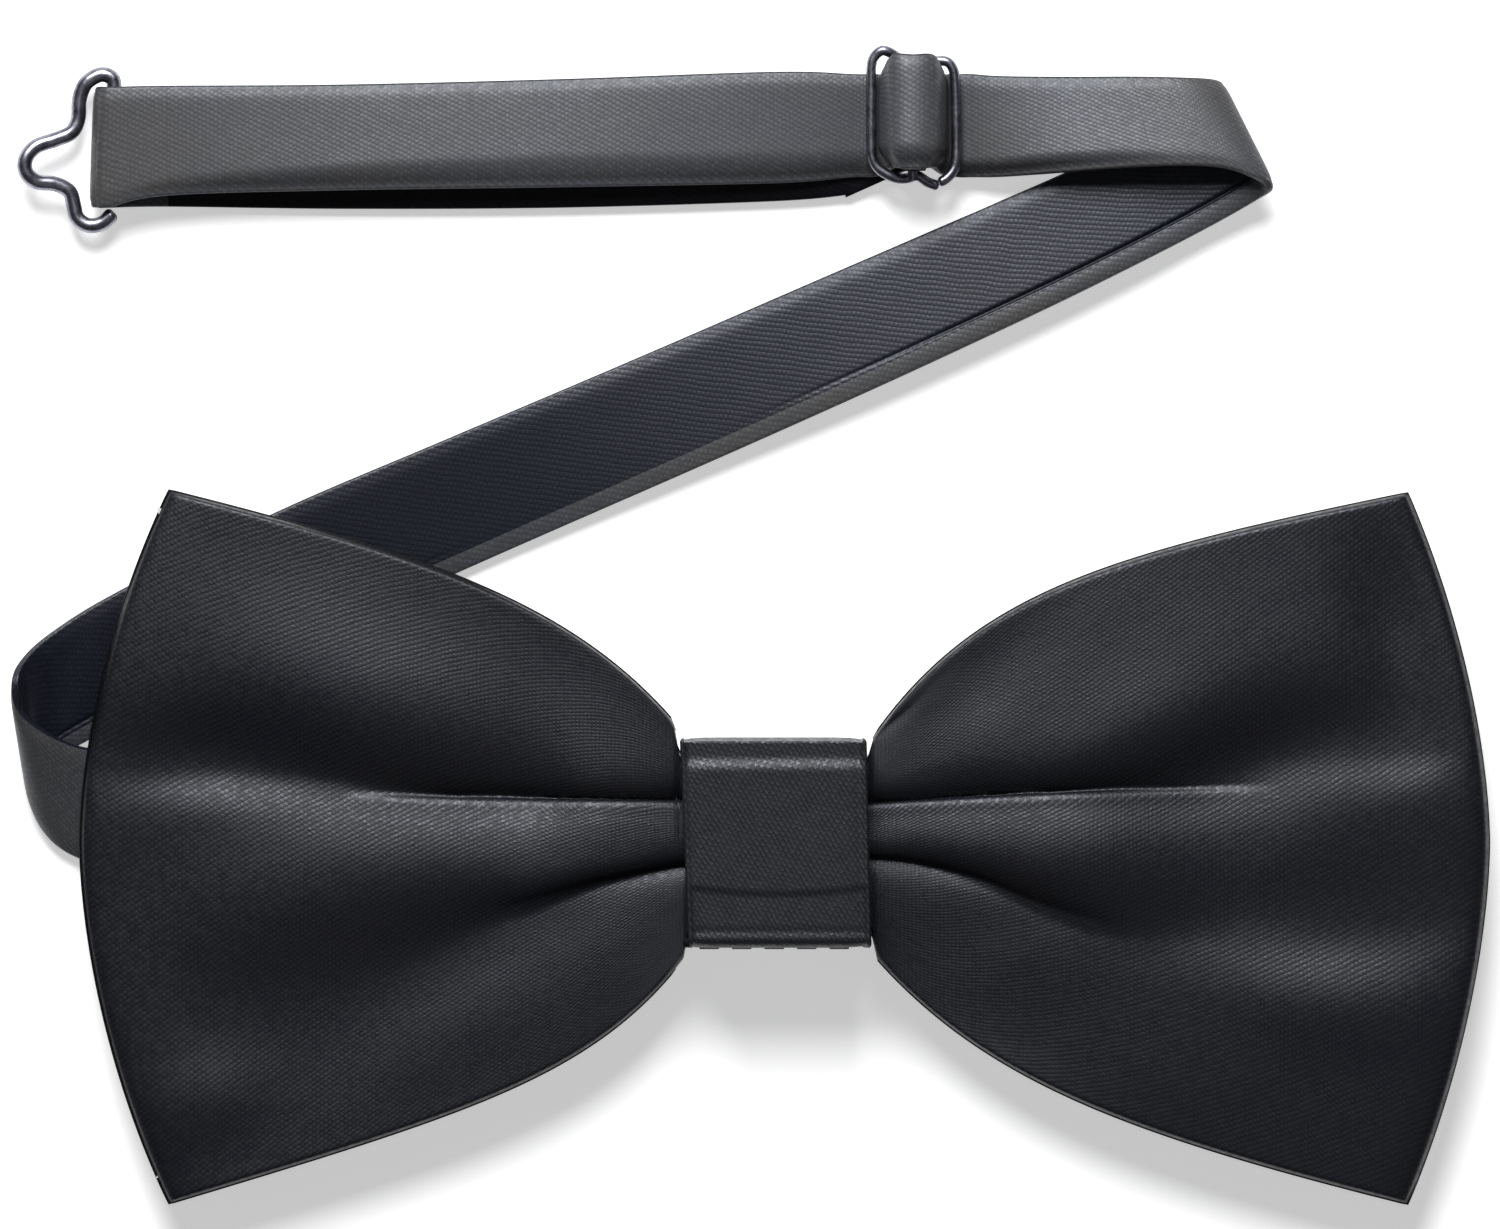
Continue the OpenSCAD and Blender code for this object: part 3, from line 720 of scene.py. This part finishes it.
def band_section(groove):
    """The flattened tube's outline, as (share across, how far out on the round edge, height off the middle).

    It runs up the outer face, round the upper edge, down the inner face and round the lower edge."""
    width = 11.0
    half = band_t / 2
    face = np.linspace(-1, 1, 25)
    near_groove = -1 + 2 * GROOVE_IN / width + np.array([-0.07, -0.045, -0.02, 0, 0.02, 0.045, 0.07])
    inner_face = np.unique(np.round(np.concatenate([face, near_groove]), 4))
    cap = np.radians(np.linspace(-90, 90, 11))[1:-1]

    def fall(s):
        return half * (1 - 0.28 * np.abs(s) ** 12)

    outer = np.stack([face, np.zeros(len(face)), -fall(face)], 1)
    pinch = 1 - 0.28 * np.cos(cap) ** 6
    upper = np.stack([np.ones(len(cap)), np.cos(cap) * pinch, np.sin(cap) * half * 0.72], 1)
    dip = groove * np.exp(-((inner_face - near_groove[3]) / 0.03) ** 2)
    lip = 0.12 * groove * step_up(inner_face, near_groove[3], -1)
    inner = np.stack([inner_face, np.zeros(len(inner_face)), fall(inner_face) - dip + lip], 1)[::-1]
    lower = np.stack([-np.ones(len(cap)), -np.cos(cap) * pinch, -np.sin(cap) * half * 0.72], 1)
    return np.concatenate([outer, upper, inner, lower])


def band_rings(low, high, t_scale=1.0, groove=None, droop=None, droop_wide=None):
    """Rings of the band between its two edge curves. droop turns the lower edge in to the inner face."""
    centre = (low + high) / 2
    span = high - low
    width = np.linalg.norm(span, axis=1)
    across = unit(span)
    along = unit(np.gradient(centre, axis=0))
    out = unit(np.cross(along, across))
    groove = np.zeros(len(low)) if groove is None else groove
    droop = np.zeros(len(low)) if droop is None else droop
    droop_wide = np.ones(len(low)) if droop_wide is None else droop_wide
    rings = []
    for i in range(len(low)):
        section = band_section(groove[i])
        half = width[i] / 2 - band_t / 2 * t_scale
        place = section[:, 0] * half + section[:, 1] * band_t / 2 * t_scale
        turned_in = np.clip((droop_wide[i] - half - place) / droop_wide[i], 0, 1) ** 1.6
        lift = section[:, 2] * t_scale + droop[i] * turned_in
        rings.append(centre[i] + across[i] * place[:, None] + out[i] * lift[:, None])
    return np.array(rings)


def section_distance(ring):
    """Distance round a ring, as the cloth's second coordinate."""
    return run_length(np.vstack([ring, ring[:1]]))


class Band:
    """The whole band, from the knot to the last stretch before the tail, as rings with their limits."""

    def __init__(self):
        names = list(STRETCHES)
        stations = [s for n in names for s in STRETCHES[n]]
        self.low = smooth([s[0] for s in stations], STEPS)
        self.high = smooth([s[1] for s in stations], STEPS)
        counts = {n: len(STRETCHES[n]) for n in names}
        turn = counts["near"]
        diagonal = turn + counts["turn"]
        fold = diagonal + counts["diagonal"]
        run = fold + counts["fold"] - 1
        over = run + counts["run"] + 1
        upper = over + counts["pass"] - 1
        end = upper + counts["upper"] + 1
        lower = end + counts["end"] - 1
        last = len(stations) - 1
        self.at = {"run": run, "pass": over, "upper": upper, "end": end, "lower": lower, "last": last}
        places = np.arange(len(self.low)) / STEPS
        along_diagonal = step_up(places, fold - 3.8, fold - 1.5) * (1 - step_up(places, run - 1, run))
        along_turn = step_up(places, turn - 1, turn) * (1 - step_up(places, diagonal, diagonal + 1))
        groove = 0.34 * along_diagonal + 0.12 * along_turn
        droop = 0.9 * step_up(places, run - 0.5, run + 1.5) * (1 - step_up(places, end - 1, end + 0.5))
        droop_wide = np.interp(places, [run, over, upper, end - 2, end], [1, 1.2, 2, 2.4, 1])
        self.rings = band_rings(self.low, self.high, 1.0, groove, droop, droop_wide)
        self.s = run_length((self.low + self.high) / 2)
        self.around = section_distance(self.rings[0])

    def piece(self, name, first, last):
        a = STEPS * (self.at[first] if first else 0)
        b = STEPS * self.at[last]
        return tube_mesh(name, self.rings[a:b + 1], self.s[a:b + 1], self.around), self.s[b] - self.s[a]


def tail_mesh():
    """The strap's end, brought up from below and turned round the centre bar."""
    r = adjuster_wire / 2 + 0.13 + tail_t / 2
    turn = np.radians(np.arange(-90, 171, 45))
    path = [(6.6, low_z + 0.1), (9.4, 0.95), (11.3, 1.5)]
    path += [(bar_x + r * math.cos(a), bar_z + r * math.sin(a)) for a in turn]
    path = smooth(path, 6)
    low_y = 61.9 - 0.45 * np.maximum(bar_x - 0.8 - path[:, 0], 0)
    low = np.column_stack([path[:, 0], low_y, path[:, 1]])
    high = np.column_stack([path[:, 0], np.full(len(path), 70.8), path[:, 1]])
    rings = band_rings(low, high, tail_t / band_t)
    return tube_mesh("tail", rings, run_length(path), section_distance(rings[0])), run_length(path)[-1]


def tab_mesh():
    """The short tab behind the other wing: two layers, with the eye's bar in the turned end."""
    tab_len = eye_low[0] + tab_eye_wire / 2
    tab_z = (eye_low[2] + eye_high[2]) / 2
    r = tab_eye_wire / 2 + 0.1 + band_t / 4
    path = [(0.6, tab_z + 0.3), (9, tab_z + 0.3), (tab_len - 8, tab_z + 0.3), (tab_len - 3, tab_z + 0.7)]
    turn = np.radians(np.arange(105, -106, -35))
    path += [(tab_len + r * math.cos(a), tab_z + r * math.sin(a)) for a in turn]
    path += [(tab_len - 3, tab_z - 0.7), (tab_len - 8, tab_z - 0.3), (tab_len - 12, tab_z - 0.3)]
    path = smooth(path, 8)
    low = np.column_stack([path[:, 0], np.full(len(path), tab_low[1]), path[:, 1]])
    high = np.column_stack([path[:, 0], np.full(len(path), tab_high[1]), path[:, 1]])
    single_layer = 0.46
    rings = band_rings(low, high, single_layer)
    return tube_mesh("tab", rings, run_length(path), section_distance(rings[0])), run_length(path)[-1]


# ---- Wire pieces ----

# Route of the slide's wire about the middle of its bar: (across, up, height over the bar)
SLIDE_ROUTE = [
    (2.35, -5.95, 0.25), (2.9, -5.75, 0.2), (3.6, -5.05, 0.1), (3.98, -3.9, 0), (4, 0, 0), (3.9, 3.4, 0),
    (3.65, 4.6, 0), (3.05, 5.2, 0), (1.8, 5.2, -0.1), (0.4, 5, -0.2), (-0.8, 5.2, -0.2), (-1.9, 5.9, 0),
    (-2.8, 6.2, 0.1), (-3.5, 5.7, 0), (-3.8, 4.9, 0), (-3.85, 3, 0), (-3.85, -2.5, 0), (-3.75, -3.7, 0),
    (-3.2, -4.7, 0), (-1.8, -5.5, 0), (-0.6, -5.6, -0.2), (0.4, -5.35, -0.3), (1.4, -5.95, -0.55),
    (2.4, -6.3, -0.7)
]


def make_adjuster():
    """The slide's bent wire, whose two ends cross at the lower side."""
    route = smooth(SLIDE_ROUTE, 8) + np.array([bar_x, adjuster_y + 0.1, bar_z])
    return wire_mesh("slide_wire", fine_ends(resample(route, 0.25), adjuster_wire), adjuster_wire, 18)


HOOK_ROUTE = [
    (-61, 70.1, 2), (-61.3, 70.7, 2), (-62.3, 70.9, 2), (-63.6, 70.1, 2), (-64.2, 68.6, 2), (-64.3, 66.9, 2),
    (-64.9, 65.6, 2.1), (-66.4, 64.9, 2.3), (-68.1, 64.3, 2.6), (-69.1, 63.2, 2.8), (-69.1, 61.9, 2.8),
    (-68.1, 61, 2.6), (-66.4, 60.8, 2.3), (-65.1, 60.1, 2.1), (-64.7, 58.8, 2), (-64.4, 57.7, 2),
    (-63.4, 57, 2), (-62.1, 57.2, 2), (-61, 58.2, 2)
]


def make_hook():
    """One bent wire: the hidden bar, round one corner, out to the nose and back."""
    bar = [(end_x, 59.5, end_z), (end_x, 62, end_z), (end_x, 65, end_z), (end_x, 68, end_z)]
    path = resample(smooth(bar + HOOK_ROUTE, 8), 0.2)
    return wire_mesh("hook_wire", fine_ends(path, hook_wire), hook_wire, 20)


def make_eye():
    """A closed rectangle of wire with its bar in the tab."""
    r = 0.9
    low = eye_low + tab_eye_wire / 2
    high = eye_high - tab_eye_wire / 2
    z = (eye_low[2] + eye_high[2]) / 2
    points = []
    for cx, cy, start in ((1, 1, 0), (0, 1, 90), (0, 0, 180), (1, 0, 270)):
        centre = (high[0] - r if cx else low[0] + r, high[1] - r if cy else low[1] + r)
        for a in np.radians(np.linspace(start, start + 90, 9)):
            points.append((centre[0] + r * math.cos(a), centre[1] + r * math.sin(a), z))
    points.append(points[0])
    path = resample(np.array(points), 0.3)[:-1]
    along = unit(np.roll(path, -1, 0) - np.roll(path, 1, 0))
    side = unit(np.cross(along, UP))
    a = np.linspace(0, 2 * np.pi, 18, endpoint=False)
    ring = side[:, None, :] * np.cos(a)[None, :, None] + UP[None, None, :] * np.sin(a)[None, :, None]
    rings = path[:, None, :] + ring * tab_eye_wire / 2
    s = run_length(np.vstack([path, path[:1]]))
    return tube_mesh("eye_wire", rings, s, np.linspace(0, np.pi * tab_eye_wire, 19), looped=True)


# ---- Materials ----

class Graph:
    """A material's nodes, with short calls for the ones used here."""

    def __init__(self, name):
        self.material = bpy.data.materials.new(name)
        self.material.use_nodes = True
        self.nodes = self.material.node_tree.nodes
        self.links = self.material.node_tree.links
        self.shader = self.nodes["Principled BSDF"]

    def put(self, socket, value):
        if isinstance(value, bpy.types.NodeSocket):
            self.links.new(value, socket)
        else:
            socket.default_value = value

    def node(self, kind, inputs=(), **settings):
        n = self.nodes.new(kind)
        for key, value in settings.items():
            setattr(n, key, value)
        for key, value in dict(inputs).items():
            self.put(n.inputs[key], value)
        return n

    def math(self, operation, a, b=0.0, c=0.0):
        return self.node("ShaderNodeMath", {0: a, 1: b, 2: c}, operation=operation).outputs[0]

    def noise(self, vector, scale, detail=2.0, roughness=0.5):
        inputs = {"Vector": vector, "Scale": scale, "Detail": detail, "Roughness": roughness}
        return self.node("ShaderNodeTexNoise", inputs).outputs["Fac"]

    def ramp(self, value, low, high, to_low=0.0, to_high=1.0):
        inputs = {"Value": value, "From Min": low, "From Max": high, "To Min": to_low, "To Max": to_high}
        return self.node("ShaderNodeMapRange", inputs).outputs["Result"]

    def mix(self, share, a, b):
        n = self.node("ShaderNodeMix", data_type="RGBA")
        self.put(n.inputs[0], share)
        self.put(n.inputs[6], a)
        self.put(n.inputs[7], b)
        return n.outputs[2]

    def bump(self, height, distance, strength=1.0, normal=None):
        n = self.node("ShaderNodeBump", {"Height": height, "Distance": distance, "Strength": strength})
        if normal is not None:
            self.links.new(normal, n.inputs["Normal"])
        return n.outputs["Normal"]

    def set(self, **values):
        for key, value in values.items():
            self.put(self.shader.inputs[key.replace("_", " ")], value)


def rgb(r, g, b):
    """Opaque colour."""
    return (r, g, b, 1.0)


SATIN_ROUGHNESS = 0.42


def satin(
    name, dark, light, angle, pitch=0.46, dash=0.42, relief=0.014, gloss=0.5, speckle=1.0, lining=None,
):
    """Satin with slanted twill ribs, broken into short floats, and a slightly uneven sheen.

    lining is (from, to, dark, light): another colour between two distances round the band."""
    g = Graph(name)
    uv = g.node("ShaderNodeUVMap", uv_map="cloth").outputs["UV"]
    split = g.node("ShaderNodeSeparateXYZ", {"Vector": uv})
    u, v = split.outputs["X"], split.outputs["Y"]
    wobble = g.noise(uv, 0.35, 3.0)
    c, s = math.cos(math.radians(angle)), math.sin(math.radians(angle))
    over = g.math("ADD", g.math("MULTIPLY", u, -s / pitch), g.math("MULTIPLY", v, c / pitch))
    over = g.math("ADD", over, g.math("MULTIPLY", wobble, 0.8))
    ahead = g.math("ADD", g.math("MULTIPLY", u, c / dash), g.math("MULTIPLY", v, s / dash))
    row = g.math("FLOOR", over)
    rib = g.math("SINE", g.math("MULTIPLY", g.math("FRACT", over), math.pi))
    shifted = g.math("ADD", ahead, g.math("MULTIPLY", row, 0.37))
    float_ = g.math("SINE", g.math("MULTIPLY", g.math("FRACT", shifted), math.pi))
    float_ = g.math("POWER", float_, 0.5)
    # Each rib is a row of short floats, and every float catches the light by its own luck
    thread = g.math("MULTIPLY", rib, float_)
    cell = g.node("ShaderNodeCombineXYZ", {"X": row, "Y": g.math("FLOOR", shifted)}).outputs["Vector"]
    luck = g.node("ShaderNodeTexWhiteNoise", {"Vector": cell}, noise_dimensions="2D").outputs["Value"]
    grain = g.noise(uv, 3.2, 4.0, 0.7)
    patches = g.noise(uv, 0.06, 3.0)
    lit = g.math("MULTIPLY", thread, g.ramp(luck, 0.0, 1.0, 0.3, 1.0))
    share = g.math("ADD", g.math("MULTIPLY", lit, 0.7), g.ramp(grain, 0.35, 0.65, 0.0, 0.3))
    colour = g.mix(share, dark, light)
    if lining is not None:
        inside = g.math("MULTIPLY", g.math("GREATER_THAN", v, lining[0]), g.math("LESS_THAN", v, lining[1]))
        colour = g.mix(inside, colour, g.mix(share, lining[2], lining[3]))
    # Broad patches of slightly cooler and warmer black
    tint = g.mix(g.ramp(patches, 0.35, 0.65), rgb(0.9, 0.93, 1.0), rgb(1.0, 0.97, 0.93))
    tinted = g.node("ShaderNodeMix", data_type="RGBA", blend_type="MULTIPLY")
    g.put(tinted.inputs[0], 1.0)
    g.put(tinted.inputs[6], colour)
    g.put(tinted.inputs[7], tint)
    g.set(Base_Color=tinted.outputs[2])
    uneven = 0.1 * speckle
    unevenness = g.math("ADD", grain, luck)
    g.set(Roughness=g.ramp(unevenness, 0.4, 1.6, SATIN_ROUGHNESS + uneven, SATIN_ROUGHNESS - uneven))
    g.set(Specular_IOR_Level=gloss, Specular_Tint=rgb(0.9, 0.93, 1.0))
    soft = g.bump(patches, 0.35 * MM, 0.5)
    g.set(Normal=g.bump(thread, relief * MM, 1.0, g.bump(grain, 0.03 * speckle * MM, 0.8, soft)))
    return g.material


def wire_finish(name, light, dark, roughness):
    """Drawn wire with a dark plated finish, worn lighter in places."""
    g = Graph(name)
    place = g.node("ShaderNodeTexCoord").outputs["Object"]
    wear = g.noise(place, 900.0, 4.0, 0.6)
    streaks = g.noise(g.node("ShaderNodeUVMap", uv_map="cloth").outputs["UV"], 4.0, 3.0)
    g.set(Base_Color=g.mix(g.ramp(wear, 0.35, 0.65), dark, light), Metallic=1.0)
    g.set(Roughness=g.ramp(streaks, 0.3, 0.7, roughness - 0.06, roughness + 0.08))
    g.set(Normal=g.bump(wear, 0.008 * MM, 0.5))
    return g.material


def thread_finish(name, dark, light):
    """Twisted sewing thread."""
    g = Graph(name)
    place = g.node("ShaderNodeTexCoord").outputs["Object"]
    twist = g.node("ShaderNodeTexWave", {"Vector": place, "Scale": 1400.0, "Distortion": 2.0, "Detail": 2.0},
                   bands_direction="DIAGONAL").outputs["Fac"]
    g.set(Base_Color=g.mix(twist, dark, light), Roughness=0.75, Sheen_Weight=0.3)
    g.set(Normal=g.bump(twist, 0.04 * MM))
    return g.material


def lining_finish(name):
    """Pale woven stiffener."""
    g = Graph(name)
    place = g.node("ShaderNodeTexCoord").outputs["Object"]
    split = g.node("ShaderNodeSeparateXYZ", {"Vector": place})
    warp = g.math("SINE", g.math("MULTIPLY", split.outputs["X"], 2 * math.pi / (0.6 * MM)))
    weft = g.math("SINE", g.math("MULTIPLY", split.outputs["Y"], 2 * math.pi / (0.6 * MM)))
    weave = g.math("MULTIPLY", warp, weft)
    fuzz = g.noise(place, 3000.0, 3.0)
    share = g.math("ADD", g.ramp(weave, -1, 1, 0, 0.5), g.math("MULTIPLY", fuzz, 0.5))
    g.set(Base_Color=g.mix(share, rgb(0.52, 0.51, 0.48), rgb(0.8, 0.79, 0.75)))
    g.set(Roughness=0.95, Sheen_Weight=0.2)
    g.set(Normal=g.bump(share, 0.08 * MM))
    return g.material


def floor_finish():
    """Pale paper that glows a little, so that its shadows stay faint."""
    g = Graph("floor_paper")
    place = g.node("ShaderNodeTexCoord").outputs["Object"]
    g.set(Base_Color=g.mix(g.noise(place, 30.0, 3.0), rgb(0.86, 0.86, 0.86), rgb(0.88, 0.88, 0.88)))
    g.set(Roughness=1.0, Specular_IOR_Level=0.0, Emission_Color=rgb(1, 1, 1), Emission_Strength=0.5)
    return g.material


def paint(obj, material):
    """Gives obj one material."""
    obj.data.materials.clear()
    obj.data.materials.append(material)


# ---- Stage ----

def make_stage():
    """Pale floor just under the object, one large soft light from above its upper edge, and a low fill."""
    low, high = cad_box
    centre = (low + high) / 2
    floor_width = 3.2
    just_under = low.z - 0.2 * MM
    bpy.ops.mesh.primitive_plane_add(size=floor_width, location=(centre.x, centre.y, just_under))
    floor = bpy.context.object
    floor.name = "floor"
    paint(floor, floor_finish())

    def area(name, offset, width, power):
        light = bpy.data.lights.new(name, "AREA")
        light.shape = "DISK"
        light.size = width
        light.energy = power
        lamp = bpy.data.objects.new(name, light)
        lamp.location = (centre.x + offset[0], centre.y + offset[1], offset[2])
        aim = centre - lamp.location
        lamp.rotation_euler = aim.to_track_quat("-Z", "Y").to_euler()
        bpy.context.scene.collection.objects.link(lamp)

    area("key", (-0.1, 0.62, 0.62), 0.5, 12.5)
    area("fill", (0.3, -0.5, 0.9), 0.7, 0.25)
    area("top", (0.05, 0.05, 1.4), 0.22, 0.25)
    world = bpy.data.worlds.new("studio")
    world.use_nodes = True
    world.node_tree.nodes["Background"].inputs["Color"].default_value = rgb(0.95, 0.97, 1.0)
    world.node_tree.nodes["Background"].inputs["Strength"].default_value = 0.05
    bpy.context.scene.world = world
    bpy.context.scene.view_settings.view_transform = "Standard"


def make_camera():
    """Straight above the object, with a long lens."""
    low, high = cad_box
    centre = (low + high) / 2
    data = bpy.data.cameras.new("camera")
    data.sensor_width = 36
    distance = 2.0
    shown_width = (high.x - low.x) * 1.024
    data.lens = data.sensor_width * distance / shown_width
    camera = bpy.data.objects.new("camera", data)
    camera.location = (centre.x + 0.0005, centre.y + 0.0008, distance)
    bpy.context.scene.collection.objects.link(camera)
    bpy.context.scene.camera = camera


# ---- Build ----

make_camera()
make_stage()

bow_satin = satin("bow_satin", rgb(0.0008, 0.0008, 0.0014), rgb(0.0125, 0.013, 0.0178), 30, gloss=0.38)
knot_satin = satin(
    "knot_satin", rgb(0.0008, 0.001, 0.0016), rgb(0.025, 0.026, 0.031), 30,
    pitch=0.42, dash=0.6, relief=0.02,
)
lining_dark, lining_light = rgb(0.0015, 0.002, 0.0045), rgb(0.014, 0.016, 0.028)
band_satin = satin(
    "band_satin", rgb(0.037, 0.038, 0.041), rgb(0.092, 0.093, 0.098), 30, gloss=0.4, speckle=0.5,
    lining=(10.6, 20.9, lining_dark, lining_light),
)
# The band's dark lining cloth, darkened further as painted shade for the shade under the strap's upper
# layers
lining_in_painted_shade = satin(
    "lining_in_painted_shade", rgb(0.0005, 0.0005, 0.001), rgb(0.003, 0.003, 0.006), 30, gloss=0.2, speckle=0.5,
)
seam_satin = satin("seam_satin", rgb(0.001, 0.001, 0.001), rgb(0.006, 0.005, 0.005), 45, gloss=0.1)
wire_dark = wire_finish("wire_gunmetal", rgb(0.34, 0.34, 0.4), rgb(0.15, 0.15, 0.19), 0.32)
thread_black = thread_finish("thread_black", rgb(0.01, 0.01, 0.012), rgb(0.05, 0.05, 0.055))
stiffener = lining_finish("stiffener")

front, back, seams = make_bow()
for obj, node in ((front, "bow_front_panel"), (back, "bow_back_panel")):
    paint(obj, bow_satin)
    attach(obj, "bow")
    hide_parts(node)
for obj in seams:
    paint(obj, seam_satin)
    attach(obj, "bow")

knot, knot_turn = make_knot()
paint(knot, knot_satin)
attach(knot, "bow")
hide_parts("knot_wrap")

band = Band()
pieces = {}
lengths = {}
PLAN = [
    ("band_main", None, "run", ["neckband_near", "neckband_turn", "neckband_diagonal", "neckband_fold"]),
    ("band_run", "run", "pass", ["neckband_run"]),
    ("band_pass", "pass", "upper", ["adjuster_pass"]),
    ("loop_upper", "upper", "end", ["strap_loop_upper"]),
    ("loop_end", "end", "lower", ["strap_end_turn"]),
    ("loop_lower", "lower", "last", ["strap_loop_lower"]),
]
for name, first, last, nodes in PLAN:
    pieces[name], lengths[name] = band.piece(name, first, last)
    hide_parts(*nodes)
pieces["tail"], lengths["tail"] = tail_mesh()
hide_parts("tail_loop")
pieces["tab"], lengths["tab"] = tab_mesh()
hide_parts("tab_strap")
for name, obj in pieces.items():
    # The lower loop and the tail get the lining made darker still, as painted shade under the strap's upper
    # layers
    paint(obj, lining_in_painted_shade if name in ("loop_lower", "tail") else band_satin)


def node_span(node, y):
    """Ends of a node along X, as points in metres at height y."""
    low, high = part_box(node)
    z = (low.z + high.z) / 2
    return (high.x, y * MM, z), (low.x, y * MM, z)


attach(pieces["band_main"], "bow")
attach(pieces["tab"], "bow")
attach(pieces["band_pass"], "adjuster")
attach(pieces["tail"], "adjuster")
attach(pieces["loop_end"], "band_end")
right, left = node_span("neckband_run", 66)
# The first ring is slanted, and all of it has to stay on the fold
right = (STRETCHES["fold"][-1][1][0] * MM, right[1], right[2])
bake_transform(pieces["band_run"])
right, left = node_span("strap_loop_upper", 66)
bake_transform(pieces["loop_upper"])
right, left = node_span("strap_loop_lower", 66)
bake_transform(pieces["loop_lower"])

slide = make_adjuster()
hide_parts("adjuster_frame")
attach(slide, "adjuster")
hook = make_hook()
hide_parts("band_hook")
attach(hook, "hook")
eye = make_eye()
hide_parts("tab_eye")
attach(eye, "eye")
for obj in (slide, hook, eye):
    paint(obj, wire_dark)

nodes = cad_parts
paint(nodes["adjuster_bar"], wire_dark)
for name in ("waist_thread", "knot_stitches", "tail_stitches", "tab_stitches"):
    paint(nodes[name], thread_black)
for name in ("bow_interlining", "knot_interlining", "neckband_interlining"):
    paint(nodes[name], stiffener)
